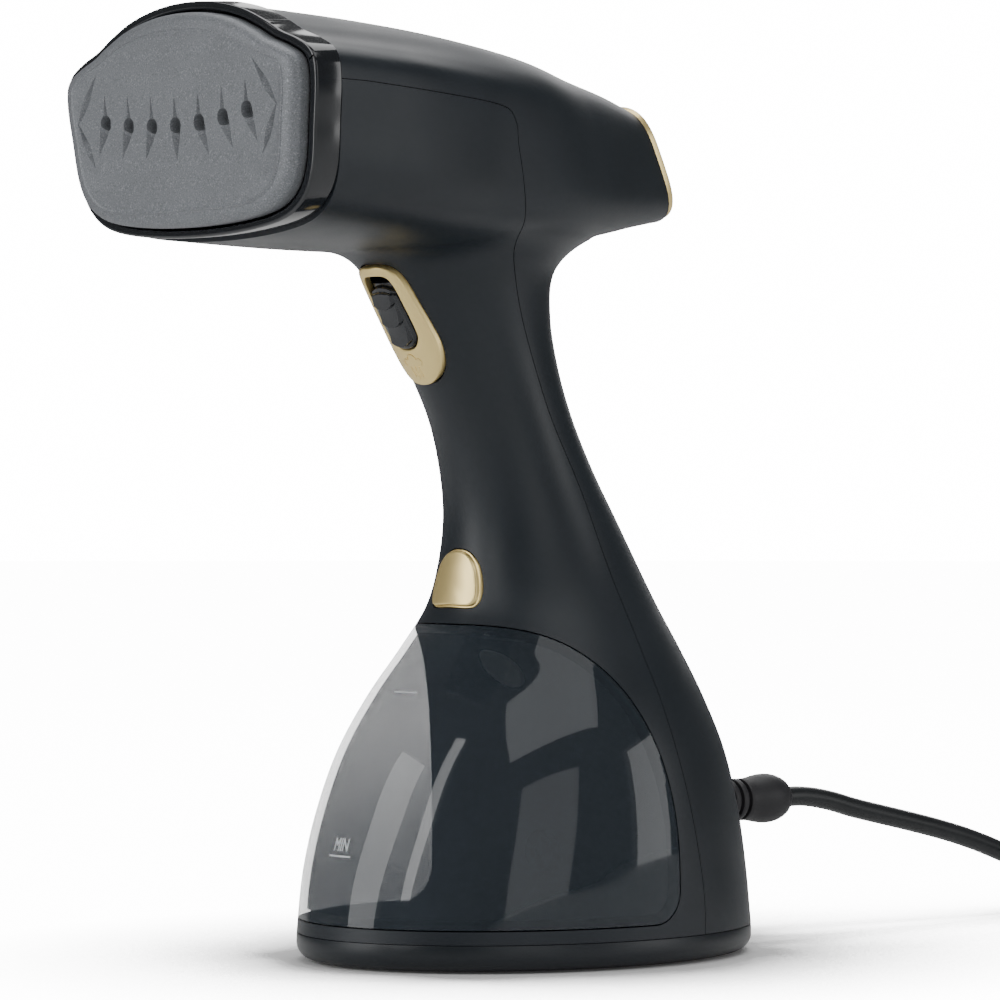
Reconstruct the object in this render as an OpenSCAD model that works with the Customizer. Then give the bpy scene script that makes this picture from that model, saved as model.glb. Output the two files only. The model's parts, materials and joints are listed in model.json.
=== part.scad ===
/* [Body] */
// Overall height, from the bench to the top of the head
body_h = 270; // [250:1:290]
// Wall thickness of the plastic housings
wall = 2.2; // [1.8:0.1:2.6]
// Height of the base cap, up to its seam with the housings
base_h = 8.2; // [7:0.1:9]
// Thickness of the floor slab under the tank
slab_t = 4; // [3.7:0.1:4.2]

/* [Soleplate] */
// Number of steam holes
steam_holes = 7; // [3:2:9]
// Distance between steam holes
steam_pitch = 11.1; // [8:0.1:11.2]
// Radius of a steam hole
steam_r = 1.7; // [1:0.1:2]
// Thickness of the soleplate
plate_t = 5; // [4:0.1:5]

/* [Tank] */
// Wall thickness of the water tank
tank_wall = 2.5; // [2:0.1:3]
// Gap between the tank and the housing around it
tank_gap = 0.4; // [0.3:0.05:0.6]
// Height of the tank's valve above the bench
valve_z = 30; // [28:0.5:32]

/* [Cord] */
// Diameter of the power cord
cord_d = 6.2; // [5.5:0.1:6.5]
// Radius of the coil's outermost turn, at the cord's centre
coil_outer_r = 46.6; // [45:0.1:48]
// Turns in each of the coil's two layers
coil_turns = 3; // [2:1:3]

/* [Hidden] */
$fn = 48;
eps = 0.01;

housing_colour = [0.13, 0.15, 0.17];
gloss_black = [0.05, 0.05, 0.06];
gold = [0.85, 0.77, 0.54];
plate_grey = [0.46, 0.47, 0.49];
smoke = [0.35, 0.38, 0.42, 0.55];
steel = [0.75, 0.76, 0.78];
rubber = [0.10, 0.10, 0.11];
board_green = [0.10, 0.35, 0.20];
silicone = [0.75, 0.75, 0.72];

// ---------- curves and lofts ----------
// Smooth value between the stations of a list, u counts stations
function spline(v, u) =
  let (i = min(floor(u), len(v) - 2), t = u - i,
       a = v[max(i - 1, 0)], b = v[i], c = v[i + 1], d = v[min(i + 2, len(v) - 1)])
  0.5 * (2 * b + (c - a) * t + (2 * a - 5 * b + 4 * c - d) * t * t
         + (3 * b - a - 3 * c + d) * t * t * t);
// Open list of points made smoother, with a few steps from each point to the next
function smooth_open(v, steps) = [for (k = [0 : (len(v) - 1) * steps]) spline(v, k / steps)];
// The right half of an outline, mirrored and closed, then smoothed
function closed_half(h) = concat(h, [for (i = [len(h) - 2 : -1 : 1]) [-h[i][0], h[i][1]]]);
function smooth_closed(v, steps) =
  let (n = len(v)) [for (i = [0 : n - 1]) each
    let (w = [v[(i + n - 1) % n], v[i], v[(i + 1) % n], v[(i + 2) % n]])
    [for (k = [0 : steps - 1]) spline(w, 1 + k / steps)]];
function outline(half_pts, steps = 3) = smooth_closed(closed_half(half_pts), steps);
function scaled(pts, sx, sy) = [for (p = pts) [p[0] * sx, p[1] * sy]];

// Skin over rings of points that run anticlockwise seen from the last ring's side
module skin(rings) {
  n = len(rings[0]);
  m = len(rings);
  sides = [for (i = [0 : m - 2], j = [0 : n - 1], k = [0, 1])
    let (a = i * n + j, b = i * n + (j + 1) % n) k == 0 ? [a, a + n, b + n] : [a, b + n, b]];
  first = [for (j = [0 : n - 1]) j];
  last = [for (j = [n - 1 : -1 : 0]) (m - 1) * n + j];
  polyhedron(points = [for (r = rings, p = r) p], faces = concat([first, last], sides));
}

// Round tube swept along a smooth path through hand-set points
function unit(v) = v / norm(v);
function tube_rings(path, r, sides) =
  let (m = len(path),
       dirs = [for (i = [0 : m - 1]) unit(path[min(i + 1, m - 1)] - path[max(i - 1, 0)])])
  [for (i = [0 : m - 1])
    let (d = dirs[i], ref = abs(d[2]) > 0.9 ? [0, 1, 0] : [0, 0, 1],
         s = unit(cross(d, ref)), q = cross(d, s))
    [for (k = [0 : sides - 1]) let (t = 360 * k / sides) path[i] - r * (sin(t) * q - cos(t) * s)]];
module tube(points, r, steps = 3, sides = 10)
  skin([for (ring = tube_rings(smooth_open(points, steps), r, sides))
    [for (k = [len(ring) - 1 : -1 : 0]) ring[k]]]);
module spring(r, wire, length, turns)
  tube([for (k = [0 : turns * 10]) [r * cos(36 * k), r * sin(36 * k),
    wire + (length - 2 * wire) * k / (turns * 10)]], wire, 1, 6);

// Heavy shells are evaluated as one mesh, then placed
module mesh_shell() resize([0, 0, 0]) children();
// Outline in the side view (Y across, Z up), extruded across X
module across_x(pts, w = 170) rotate([90, 0, 90]) translate([0, 0, -w / 2])
  linear_extrude(w) polygon(pts);

// ---------- handle and base form ----------
height_k = body_h / 270;
// Stations up the body: [height, front, rear, half width]
body_stations = [[8, -73.5, 72, 57.5], [25, -71, 69.5, 57.5], [42, -66, 66, 56.5],
  [60, -58.5, 61, 53], [76, -48.5, 54, 47], [90, -38, 47, 39.5], [102, -30, 40.5, 33],
  [114, -27, 34.5, 28], [128, -26, 27, 24], [142, -28, 19, 21.3], [157, -32.5, 11.5, 20],
  [172, -40.5, 6, 20.3], [187, -50, 3, 21.5], [200, -58, 4, 24], [210, -68, 14, 29]];
body_sides = 48;
function body_ring(s, inset) = let (mid = (s[1] + s[2]) / 2, depth = (s[2] - s[1]) / 2 - inset)
  [for (k = [0 : body_sides - 1]) let (t = 360 * k / body_sides)
    [(s[3] - inset) * cos(t), mid + depth * sin(t), s[0] * height_k]];
module body_form(inset = 0, reach = 0)
  skin(concat([body_ring(body_stations[0] - [reach, 0, 0, 0], inset)],
    [for (u = [0 : 0.5 : len(body_stations) - 1]) body_ring(spline(body_stations, u), inset)],
    [body_ring(body_stations[len(body_stations) - 1] + [max(reach, 1), 0, 0, 0], inset)]));

// ---------- head form ----------
plate_y = -128;
plate_z = 238 * height_k;
plate_lean = 4;
// Right half of the soleplate's edge, from its bottom to its crown
plate_half = [[0, -29], [20, -28.3], [37, -26], [46.3, -21.5], [51, -14], [53.2, -2],
  [54.6, 8.5], [53.3, 14.6], [47.5, 18], [40, 20.7], [33.5, 23.8], [24, 27.4], [12, 29.8],
  [0, 30.5]];
plate_edge = outline(plate_half);
plate_half_w = 54.6;
plate_low = 29;
plate_mid_h = 29.75;
module at_plate(depth = 0) translate([0, plate_y, plate_z]) rotate([90 + plate_lean, 0, 0])
  translate([0, 0, -depth]) children();
module plate_slab(from, to, sx, sy) at_plate(to) linear_extrude(to - from)
  polygon(scaled(plate_edge, sx, sy));

// Stations along the head: [place, half width, low, high, roundness, lean]
head_stations = [[37.33, 16.07, 216.64, 250.27, 1, 0.455], [24.33, 21.4, 214.4, 254, 1, 0.43],
  [5, 29.8, 210.5, 257.5, 1, 0.34], [-20, 39.8, 207, 262.5, 0.9, 0.2],
  [-50, 47, 205, 267.2, 0.6, 0.14], [-80, 54, 204.8, 270, 0.25, 0.1],
  [-114, 58.6, 206, 271.6, 0, 0.07]];
head_power = 3.35;
head_edge = outline(plate_half, 2);
function round_point(p) = p / pow(pow(abs(p[0]), head_power) + pow(abs(p[1]), head_power),
  1 / head_power);
function head_ring_points(s, inset) = let (mid = (s[2] + s[3]) / 2, half_h = (s[3] - s[2]) / 2)
  [for (e = head_edge)
    let (p = [e[0] / plate_half_w, (e[1] + plate_low) / plate_mid_h - 1],
         q = p * (1 - s[4]) + round_point(p) * s[4], up = q[1] * (half_h - inset))
    [q[0] * (s[1] - inset), s[0] - s[5] * up, (mid + up) * height_k]];
module head_form(inset = 0, reach = 0)
  skin(concat([head_ring_points(head_stations[0] + [reach, 0, 0, 0, 0, 0], inset)],
    [for (u = [reach > 0 ? 0.5 : 0 : 0.5 : len(head_stations) - (reach > 0 ? 1.5 : 1)])
      head_ring_points(spline(head_stations, u), inset)],
    reach > 0 ? [head_ring_points(head_stations[len(head_stations) - 1]
      - [reach, 0, 0, 0, 0, 0], inset)] : []));

// ---------- tank boundary and seam, both in the side view ----------
arch_y = -36;
arch_z = 22;
arch_a = 45;
arch_b = 75.5;
arch_power = 2.4;
corner_r = 9.5;
function arch(off) = concat(
  [[-110, arch_z - corner_r - off]],
  [for (t = [-90 : 15 : -15]) [arch_y + arch_a - corner_r + (corner_r + off) * cos(t),
    arch_z + (corner_r + off) * sin(t)]],
  [for (t = [0 : 6 : 90]) [arch_y + (arch_a + off) * pow(cos(t), 2 / arch_power),
    arch_z + (arch_b + off) * pow(sin(t), 2 / arch_power)]],
  [[-110, arch_z + arch_b + off]]);
seam_points = [[21, -5], [20.4, 18], [16.5, 39], [12.5, 62], [10.5, 83], [9, 103], [4.4, 127],
  [0, 141], [-9, 160], [-20, 186], [-26, 203], [-35, 218], [-40.5, 232], [-42.5, 241],
  [-50, 244.6], [-80, 246.2], [-140, 248.8]];
seam = [for (p = smooth_open(seam_points, 3)) [p[0], p[1] * height_k]];
seam_gap = 0.12;
module front_region() across_x(concat([[-140, -5]], seam));
module rear_region() across_x(concat([[120, -5], [120, 300], [-140, 300]],
  [for (i = [len(seam) - 1 : -1 : 0]) seam[i] + [seam_gap, seam_gap]]));

// ---------- frames of the controls ----------
trigger_lean = 32;
module at_trigger() translate([0, -48.9, 183.8 * height_k]) rotate([90 + trigger_lean, 0, 0])
  children();
release_lean = -11;
module at_release() translate([0, -27.6, 110.8 * height_k]) rotate([90 + release_lean, 0, 0])
  children();
filler_tilt = -47.1;
module at_filler() translate([0, -8, 86.3]) rotate([filler_tilt, 0, 0]) children();
tail_lean = 24.46;
module at_tail() translate([0, 37.33, 233.455 * height_k]) rotate([tail_lean - 90, 0, 0]) children();
module along_y(y, x = 0, z = 0) translate([x, y, z]) rotate([-90, 0, 0]) children();

bezel_half = [[0, -19.6], [5, -18.7], [8.6, -15.2], [10.4, -9], [10.4, -2], [9.7, 7],
  [8.9, 13.5], [7, 17.8], [3.8, 19.4], [0, 19.6]];
slot_half = [[0, -7.7], [3.5, -7.1], [5.9, -4.6], [6.5, -1], [6.3, 8], [5.9, 13],
  [4.4, 15.9], [0, 16.6]];
button_half = [[0, -8.6], [6.5, -8.6], [9.5, -7.8], [10.6, -5.2], [10.1, -0.8], [8.3, 4.2],
  [4.8, 7.6], [0, 8.6]];
grip_r = 20;
pin_y = -13;
pin_z = -6;
module prism(half_pts, from, to, grow = 0) translate([0, 0, from]) linear_extrude(to - from)
  polygon([for (p = outline(half_pts)) p + grow * unit(p - [0, 2])]);
module grip_cylinder(r) translate([0, 30, -grip_r]) rotate([90, 0, 0])
  cylinder(r = r, h = 60, $fn = 96);

// ---------- base ----------
function ellipse_points(a, b, y0, n = 72) =
  [for (k = [0 : n - 1]) [a * cos(360 * k / n), y0 + b * sin(360 * k / n)]];
base_a = 57.5;
base_b = 72.75;
base_y = -0.75;
function base_ring(inset, z) =
  [for (p = ellipse_points(base_a - inset, base_b - inset, base_y, body_sides)) [p[0], p[1], z]];
module base_pad() color(rubber) linear_extrude(1.5)
  polygon(ellipse_points(base_a - 12, base_b - 12, base_y));
screw_spots = [[-39.2, -40], [39.2, -40], [-48.4, 8], [48.4, 8]];
module base_cap() color(housing_colour) mesh_shell() difference() {
  skin([base_ring(4, 0.6), base_ring(2, 1.4), base_ring(0.6, 3), base_ring(0, 5),
    base_ring(0, base_h)]);
  skin([base_ring(3.4, 3.6), base_ring(wall, 5), base_ring(wall, base_h + 1)]);
  translate([0, 0, -1]) linear_extrude(2.55)
    polygon(ellipse_points(base_a - 11.8, base_b - 11.8, base_y));
  for (p = screw_spots) translate([p[0], p[1], -1]) {
    cylinder(r = 1.8, h = 8, $fn = 24);
    cylinder(r = 3.2, h = 3.2, $fn = 24);
  }
}
module base_screws() color(steel) for (p = screw_spots) translate([p[0], p[1], 0]) {
  translate([0, 0, 0.8]) cylinder(r = 3, h = 1.3);
  translate([0, 0, 2]) cylinder(r = 1.5, h = 9.6);
}

// ---------- housings ----------
module outer_form() {
  body_form();
  head_form();
}
module inner_form() {
  body_form(wall, 2);
  head_form(wall, 3);
}
module above_base() translate([-100, -150, base_h + 0.15]) cube([200, 320, 300]);
module front_housing() color(housing_colour) mesh_shell() difference() {
  intersection() {
    union() {
      difference() {
        outer_form();
        inner_form();
      }
      // floor slab under the tank, and the wall that follows the tank's back
      intersection() {
        body_form();
        union() {
          translate([-60, -80, base_h]) cube([120, 98, slab_t]);
          across_x(arch(tank_gap + 2));
        }
      }
    }
    front_region();
    above_base();
  }
  across_x(arch(tank_gap));
  at_trigger() prism(bezel_half, -12, 12, 0.35);
  at_release() prism(button_half, -12, 12, 0.35);
  along_y(0, 0, valve_z) cylinder(r = 9, h = 20);
  at_filler() translate([0, 0, -4]) cylinder(r = 12.5, h = 16);
  translate([-6, -28, 90]) cube([12, 13, 11]);
  for (p = screw_spots) translate([p[0], p[1], base_h - 1]) cylinder(r = 1.7, h = 4.7, $fn = 24);
}
cord_z = 42;
module rear_housing() color(housing_colour) mesh_shell() difference() {
  intersection() {
    difference() {
      outer_form();
      inner_form();
    }
    rear_region();
    above_base();
  }
  along_y(50, 0, cord_z) cylinder(r = 6.6, h = 30);
}

// ---------- head front ----------
ring_sx = 1.073;
ring_sy = 1.1;
module head_ring() color(gloss_black) difference() {
  plate_slab(3, 13.8, ring_sx, ring_sy);
  plate_slab(2, 15, 1.014, 1.022);
}
groove_fan = 3;
function hole_v(x) = -0.6 + 0.0022 * x * x;
module soleplate() color(plate_grey) at_plate(0) difference() {
  union() {
    translate([0, 0, -plate_t]) linear_extrude(plate_t - 1.4) polygon(plate_edge);
    translate([0, 0, -1.5]) linear_extrude(1.5) polygon(scaled(plate_edge, 0.98, 0.965));
  }
  for (i = [-(steam_holes - 1) / 2 : (steam_holes - 1) / 2])
    translate([i * steam_pitch, hole_v(i * steam_pitch), 0]) {
      translate([0, 0, -plate_t - 1]) cylinder(r = steam_r, h = plate_t + 2);
      rotate([0, 0, i * groove_fan]) translate([0, 0, -0.7]) linear_extrude(2)
        polygon([[0, -11], [2.1, -1], [0, 10], [-2.1, -1]]);
    }
  for (s = [-1, 1]) translate([0, 0, -0.6]) linear_extrude(2) polygon([[s * 36.5, 16.5],
    [s * 47.5, 2.5], [s * 39, -11], [s * 44.2, 2.5]]);
}
module plate_seal() color(silicone) difference() {
  plate_slab(plate_t + 0.05, plate_t + 1.2, 0.97, 0.965);
  plate_slab(plate_t - 1, plate_t + 2, 0.9, 0.89);
}
module plate_carrier() color(rubber) difference() {
  plate_slab(plate_t + 1.25, 13.5, 1, 1);
  plate_slab(plate_t, 15, 0.885, 0.9);
}
chamber_k = 0.86;
chamber_back = 20;
leg_low = -19;
leg_high = -10;
leg_bend = (leg_high - leg_low) / 2;
element_r = 3;
element_x = 36;
element_z = -15.5;
screw_v = 20.5;
chamber_screw_spots = [[-28, screw_v], [28, screw_v], [-40, 4], [40, 4]];
module steam_chamber() color(steel) at_plate(0) difference() {
  translate([0, 0, -chamber_back]) linear_extrude(chamber_back - plate_t)
    polygon(scaled(plate_edge, chamber_k, chamber_k));
  // gallery behind the steam holes
  translate([-37, -6, -10]) cube([74, 10, 10 - plate_t + 1]);
  // evaporation pocket, closed by the cover
  translate([-24, 5.5, -chamber_back - 1]) cube([48, 11, 9]);
  for (x = [-18, 18]) translate([x, 3, -14]) cube([3, 6, 7]);
  // bed of the heating element
  translate([-element_x - 8.5, leg_low - element_r - 0.4, -chamber_back - 1])
    cube([2 * element_x + 12.5, leg_high - leg_low + 2 * element_r + 0.8, 9.4]);
  for (p = chamber_screw_spots) translate([p[0], p[1], -chamber_back - 1])
    cylinder(r = 1.7, h = 30);
}
module chamber_cover() color(steel) at_plate(0) difference() {
  translate([0, 0, -chamber_back - 1.6]) linear_extrude(1.5)
    polygon(scaled(plate_edge, chamber_k, chamber_k));
  for (v = [leg_low, leg_high]) translate([element_x, v, -chamber_back - 3])
    cylinder(r = element_r + 0.6, h = 6);
  translate([0, 11, -chamber_back - 3]) cylinder(r = 2.7, h = 6);
  for (p = chamber_screw_spots) translate([p[0], p[1], -chamber_back - 3])
    cylinder(r = 1.7, h = 6);
}
module heating_element() color([0.35, 0.3, 0.28]) at_plate(0) {
  for (v = [leg_low, leg_high]) translate([-element_x, v, element_z]) rotate([0, 90, 0])
    cylinder(r = element_r, h = 2 * element_x);
  translate([-element_x, (leg_low + leg_high) / 2, element_z]) rotate([0, 0, 90])
    rotate_extrude(angle = 180) translate([leg_bend, 0]) circle(r = element_r, $fn = 32);
  for (v = [leg_low, leg_high]) translate([element_x, v, element_z]) {
    sphere(r = element_r);
    translate([0, 0, -14]) cylinder(r = element_r, h = 14);
    translate([0, 0, -19]) cylinder(r = 1.2, h = 6);
  }
}
cover_back = chamber_back + 1.65;
module thermostat() color(rubber) at_plate(0) translate([-18, -7, -cover_back - 7]) {
  cylinder(r = 8, h = 7);
  for (s = [-1, 1]) translate([s * 5 - 0.4, -3, -7]) cube([0.8, 6, 7.5]);
}
module thermal_fuse() color([0.8, 0.75, 0.6]) at_plate(0) translate([6, -7, -cover_back - 2.6]) {
  rotate([0, 90, 0]) cylinder(r = 2.2, h = 11);
  translate([3, -4, -2.4]) cube([5, 8, 5]);
}
module steam_elbow() color([0.8, 0.65, 0.35]) at_plate(0) translate([0, 11, 0]) {
  translate([0, 0, -cover_back - 10]) cylinder(r = 2.5, h = 12);
  translate([0, 0, -cover_back - 2]) cylinder(r = 5, h = 1.95);
}
module chamber_screws() color(steel) at_plate(0) for (p = chamber_screw_spots)
  translate([p[0], p[1], 0]) {
    translate([0, 0, -cover_back - 2.4]) cylinder(r = 2.8, h = 2.35);
    translate([0, 0, -cover_back - 0.1]) cylinder(r = 1.5, h = cover_back - plate_t);
  }

// ---------- trigger ----------
module trigger_bezel() color(gold) at_trigger() difference() {
  union() {
    intersection() {
      prism(bezel_half, -8, 6);
      difference() {
        grip_cylinder(grip_r + 0.9);
        grip_cylinder(grip_r - 1);
      }
    }
    for (s = [-1, 1]) translate([s * 7.6 - 0.9, pin_y - 3, pin_z - 3]) cube([1.8, 6, 6.4]);
  }
  prism(slot_half, -4.4, 8);
  translate([-12, pin_y, pin_z]) rotate([0, 90, 0]) cylinder(r = 1.3, h = 24);
}
module trigger_pin() color(steel) at_trigger() translate([-8.4, pin_y, pin_z]) rotate([0, 90, 0])
  cylinder(r = 1.25, h = 16.8);
module trigger() color(gloss_black) at_trigger() difference() {
  union() {
    intersection() {
      translate([0, -0.2, 0]) scale([0.93, 0.93, 1]) prism(slot_half, -9, 4);
      grip_cylinder(grip_r + 0.3);
      translate([-10, -10, -10]) cube([20, 23.4, 20]);
    }
    intersection() {
      translate([0, -0.2, 0]) scale([0.93, 0.93, 1]) prism(slot_half, -6, 4);
      grip_cylinder(grip_r + 1.1);
      for (y = [-3.6, 2.4, 8.4]) translate([-10, y, -2.3]) rotate([0, 90, 0])
        cylinder(r = 3.6, h = 20);
    }
    translate([-5.2, pin_y, -9]) cube([10.4, 8, 4.8]);
    translate([-6, pin_y, pin_z]) rotate([0, 90, 0]) cylinder(r = 3, h = 12);
  }
  translate([-12, pin_y, pin_z]) rotate([0, 90, 0]) cylinder(r = 1.32, h = 24);
}
module trigger_spring() color(steel) at_trigger() translate([0, -3.5, -15.1])
  spring(2, 0.3, 6, 4);
module trigger_switch() color(rubber) at_trigger() {
  translate([-3.2, 1.5, -22]) cube([6.4, 12.5, 9]);
  translate([-1.2, 6, -13.1]) cube([2.4, 2.4, 0.8]);
  translate([-7, -7, -17]) cube([14, 8.55, 1.8]);
  for (s = [0, 1, 2]) translate([-1.5, 3 + 4 * s, -26]) cube([3, 0.8, 4.1]);
}

// ---------- tank release ----------
button_travel = 2;
module release_button() color(gold) at_release() {
  intersection() {
    prism(button_half, -5, 4);
    translate([0, 30, -27.6]) rotate([90, 0, 0]) cylinder(r = 29.1, h = 60, $fn = 96);
  }
  translate([0, 0, -14.6]) cylinder(r = 2, h = 9.7);
  // latch arm and its nose
  translate([-4, -12.1, -7]) cube([8, 8, 2.1]);
}
module button_guide() color(rubber) at_release() difference() {
  translate([-8, -7, -16]) cube([16, 14, 2]);
  translate([0, 0, -18]) cylinder(r = 2.3, h = 6);
}
module release_spring() color(steel) at_release() translate([0, 0, -13.9])
  spring(2.9, 0.35, 8.7, 5);

// ---------- tank ----------
module water_tank() color(smoke) mesh_shell() difference() {
  union() {
    intersection() {
      body_form();
      across_x(arch(0));
    }
    // catch rib for the latch
    translate([-5, -19, 90]) cube([10, 2, 6.8]);
  }
  intersection() {
    body_form(tank_wall, 2);
    across_x(arch(-tank_wall));
  }
  along_y(0, 0, valve_z) cylinder(r = 6.2, h = 20);
  at_filler() translate([0, 0, -8]) cylinder(r = 8.05, h = 12);
}
module tank_valve() color(rubber) along_y(0, 0, valve_z) rotate_extrude()
  polygon([[1.5, 4], [6, 4], [6, 9.3], [8, 9.3], [8, 11], [6, 11], [6, 18], [1.5, 18]]);
module tank_seal() color(silicone) along_y(14.5, 0, valve_z) rotate_extrude()
  translate([6.95, 0]) circle(r = 0.9, $fn = 24);
module filler_cap() color(silicone) at_filler() {
  translate([0, 0, 0.3]) cylinder(r = 10.4, h = 2.3);
  translate([0, 0, -3.5]) cylinder(r = 7.85, h = 4);
  translate([-2, 8, 0.3]) cube([4, 4, 2]);
}

// ---------- water path behind the tank ----------
pump_x = 18;
pump_y = 30;
module water_socket() color(rubber) along_y(0, 0, valve_z) rotate_extrude()
  polygon([[7.95, 12], [10, 12], [10, 21.5], [2.6, 21.5], [2.6, 29], [1.2, 29], [1.2, 19.2],
    [7.95, 19.2]]);
module pump() color([0.55, 0.35, 0.2]) translate([pump_x, pump_y, 0]) {
  translate([0, 0, 34]) cylinder(r = 6, h = 42);
  translate([0, 0, 45]) cylinder(r = 12, h = 22);
  for (z = [43, 67]) translate([-13, -12.5, z]) cube([26, 25, 2]);
  translate([0, 0, 27]) cylinder(r = 2.4, h = 8);
  translate([0, 0, 75]) cylinder(r = 2.4, h = 9);
}
module pump_mount() color(rubber) translate([pump_x, pump_y, 0]) difference() {
  union() {
    translate([-12, -8, 37]) cube([24, 19, 5.9]);
    for (s = [-1, 1]) translate([s * 9 - 2, -3, 3.65]) cube([4, 6, 34]);
  }
  translate([0, 0, 30]) cylinder(r = 6.1, h = 20);
}
inlet_route = [[0, 24, 30], [0, 31, 30], [1, 37, 28], [5, 41, 23], [11, 41, 18],
  [16, 36, 16.5], [pump_x, pump_y, 21], [pump_x, pump_y, 31]];
outlet_route = [[pump_x, pump_y, 79], [pump_x, pump_y, 88], [15, 26, 100], [9, 19, 115],
  [5, 12, 131], [2, 4, 148], [0, -3, 165], [0, -10, 185], [0, -20, 203], [0, -38, 219],
  [0, -56, 236], [0, -72, 246], [0, -86, 250.4], [0, -97.5, 251]];
module inlet_hose() color(silicone) tube(inlet_route, 3.6, 3, 10);
module outlet_hose() color(silicone) tube(outlet_route, 3.6, 3, 10);

// ---------- electrics ----------
board_z = 221;
module control_board() color(board_green) {
  translate([-15, -18, board_z]) cube([30, 40, 1.6]);
  translate([-4, 15, board_z + 1]) cube([8, 6.4, 10]);
  translate([-11, -12, board_z + 1]) cylinder(r = 4, h = 11);
}
module mains_relay() color([0.1, 0.2, 0.5]) translate([0, -14, board_z + 1.65])
  cube([13, 18, 14]);
wire_route = [[-1, 42.6, cord_z], [-14, 41, 46], [-20, 38, 58], [-19, 34, 78], [-14, 28, 100],
  [-9, 19, 122], [-8, 8, 145], [-8, -2, 165], [-8, -9, 188], [-9, -10, 208],
  [-10, -8, board_z - 0.5]];
module mains_wires() color([0.6, 0.3, 0.2]) {
  along_y(42, 0, cord_z) cylinder(r = 3, h = 13.9);
  tube(wire_route, 1.2, 2, 8);
}
clamp_screw_x = 9;
module cord_clamp() color(rubber) difference() {
  union() {
    translate([-13, 44, cord_z - 6]) cube([26, 9, 12]);
    // post on the base cap's floor
    translate([-13, 46, 3.65]) cube([26, 5, cord_z - 9]);
  }
  along_y(40, 0, cord_z) cylinder(r = 3.05, h = 20);
  for (s = [-1, 1]) translate([s * clamp_screw_x, 48.5, cord_z - 10.5])
    cylinder(r = 1.6, h = 24);
}
module clamp_screws() color(steel) for (s = [-1, 1])
  translate([s * clamp_screw_x, 48.5, cord_z]) {
    translate([0, 0, 6.05]) cylinder(r = 2.8, h = 1.8);
    translate([0, 0, -10]) cylinder(r = 1.5, h = 16.1);
  }

// ---------- tail ----------
tail_half_w = 16.07;
tail_half_h = 18.47;
tail_points = [for (k = [0 : 71]) let (q = round_point([cos(5 * k), sin(5 * k)]))
  [tail_half_w * q[0], tail_half_h * q[1]]];
module tail_slab(from, to, inset) translate([0, 0, from]) linear_extrude(to - from)
  polygon(scaled(tail_points, 1 - inset / tail_half_w, 1 - inset / tail_half_h));
module rear_trim() color(gold) at_tail() difference() {
  tail_slab(0.1, 2.3, 0);
  tail_slab(-1, 4, 2.2);
}
module rear_cap() color(housing_colour) at_tail() difference() {
  tail_slab(-1.4, 1.5, 2.5);
  translate([0, 1.5, -3]) cylinder(r = 6.2, h = 8);
  translate([0, -9, -3]) cylinder(r = 1.7, h = 8);
}
module power_button() color(gloss_black) at_tail() translate([0, 1.5, 0]) {
  translate([0, 0, -5]) cylinder(r = 5.95, h = 7.2);
  translate([0, 0, -15.2]) cylinder(r = 1.8, h = 11);
}
module indicator_lens() color([0.9, 0.5, 0.3]) at_tail() translate([0, -9, -2.5])
  cylinder(r = 1.6, h = 4.2);

// ---------- cord ----------
exit_y = 103;
bench = cord_d / 2;
lift = 1;
coil_x = coil_outer_r;
coil_y = 270;
coil_low = coil_outer_r - cord_d * coil_turns;
cord_route = [[0, exit_y, 42], [0, 110, 42], [0, 121, 40.4], [0, 133, 37.4], [0, 145, 34.8],
  [0, 158, 32], [0, 171, 29], [0, 184, 25.5], [0, 197, 21.2], [0, 210, 16.4], [0, 223, 11.7],
  [0, 236, 7.8], [0, 248, 5.2], [0, 260, 4.2], [0, coil_y, 4.1]];
module strain_relief() color(rubber) along_y(0, 0, cord_z) rotate_extrude()
  polygon([[0, 56], [5, 56], [5, 58], [9, 58], [9, 60.5], [6.3, 60.5], [6.1, 84], [6.6, 88],
    [7.3, 91], [7.5, 94], [7.2, 97], [6.2, 100], [4.6, 102], [cord_d / 2 + 0.4, exit_y],
    [0, exit_y]]);
module power_cord() color(rubber) tube(cord_route, cord_d / 2, 2, 10);
module cord_coil() color(rubber) translate([coil_x, coil_y, lift]) rotate_extrude($fn = 96)
  translate([coil_low - cord_d / 2, 0])
  square([coil_outer_r - coil_low + cord_d, 2 * cord_d]);
module coil_tie() color(rubber) translate([coil_x, coil_y, lift]) rotate([0, 0, 60]) {
  difference() {
    translate([coil_low - bench - 1.4, -4, -0.9])
      cube([coil_outer_r - coil_low + cord_d + 2.4, 8, 2 * cord_d + 1.8]);
    translate([coil_low - bench - 0.5, -5, -0.1])
      cube([coil_outer_r - coil_low + cord_d + 0.6, 10, 2 * cord_d + 0.2]);
  }
}
lead_x = coil_x + coil_outer_r;
plug_y = 222;
plug_z = 7.6;
lead_route = [[lead_x, coil_y, lift + 1.5 * cord_d], [lead_x, 262, 10], [lead_x, 254, 8.9],
  [lead_x, 246, 8.2], [lead_x, 236, 7.8], [lead_x, plug_y, plug_z]];
module plug_lead() color(rubber) tube(lead_route, cord_d / 2, 2, 10);
plug_half = [[0, -36], [8, -36], [14, -35], [17, -31], [17.5, -24], [16, -15], [11, -7],
  [6, -2], [0, 0]];
module plug_body() color(rubber) translate([lead_x, plug_y, 0.2]) difference() {
  linear_extrude(14.8) polygon([for (p = outline(plug_half)) p]);
  for (s = [-1, 1]) translate([s * 9.5, -30, plug_z - 0.2]) rotate([90, 0, 0])
    cylinder(r = 2.4, h = 10);
}
module plug_pins() color(steel) translate([lead_x, plug_y, plug_z]) for (s = [-1, 1])
  translate([s * 9.5, -30.1, 0]) rotate([90, 0, 0]) {
    cylinder(r = 2.35, h = 22.9);
    translate([0, 0, 22.9]) sphere(r = 2.35);
  }

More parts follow.
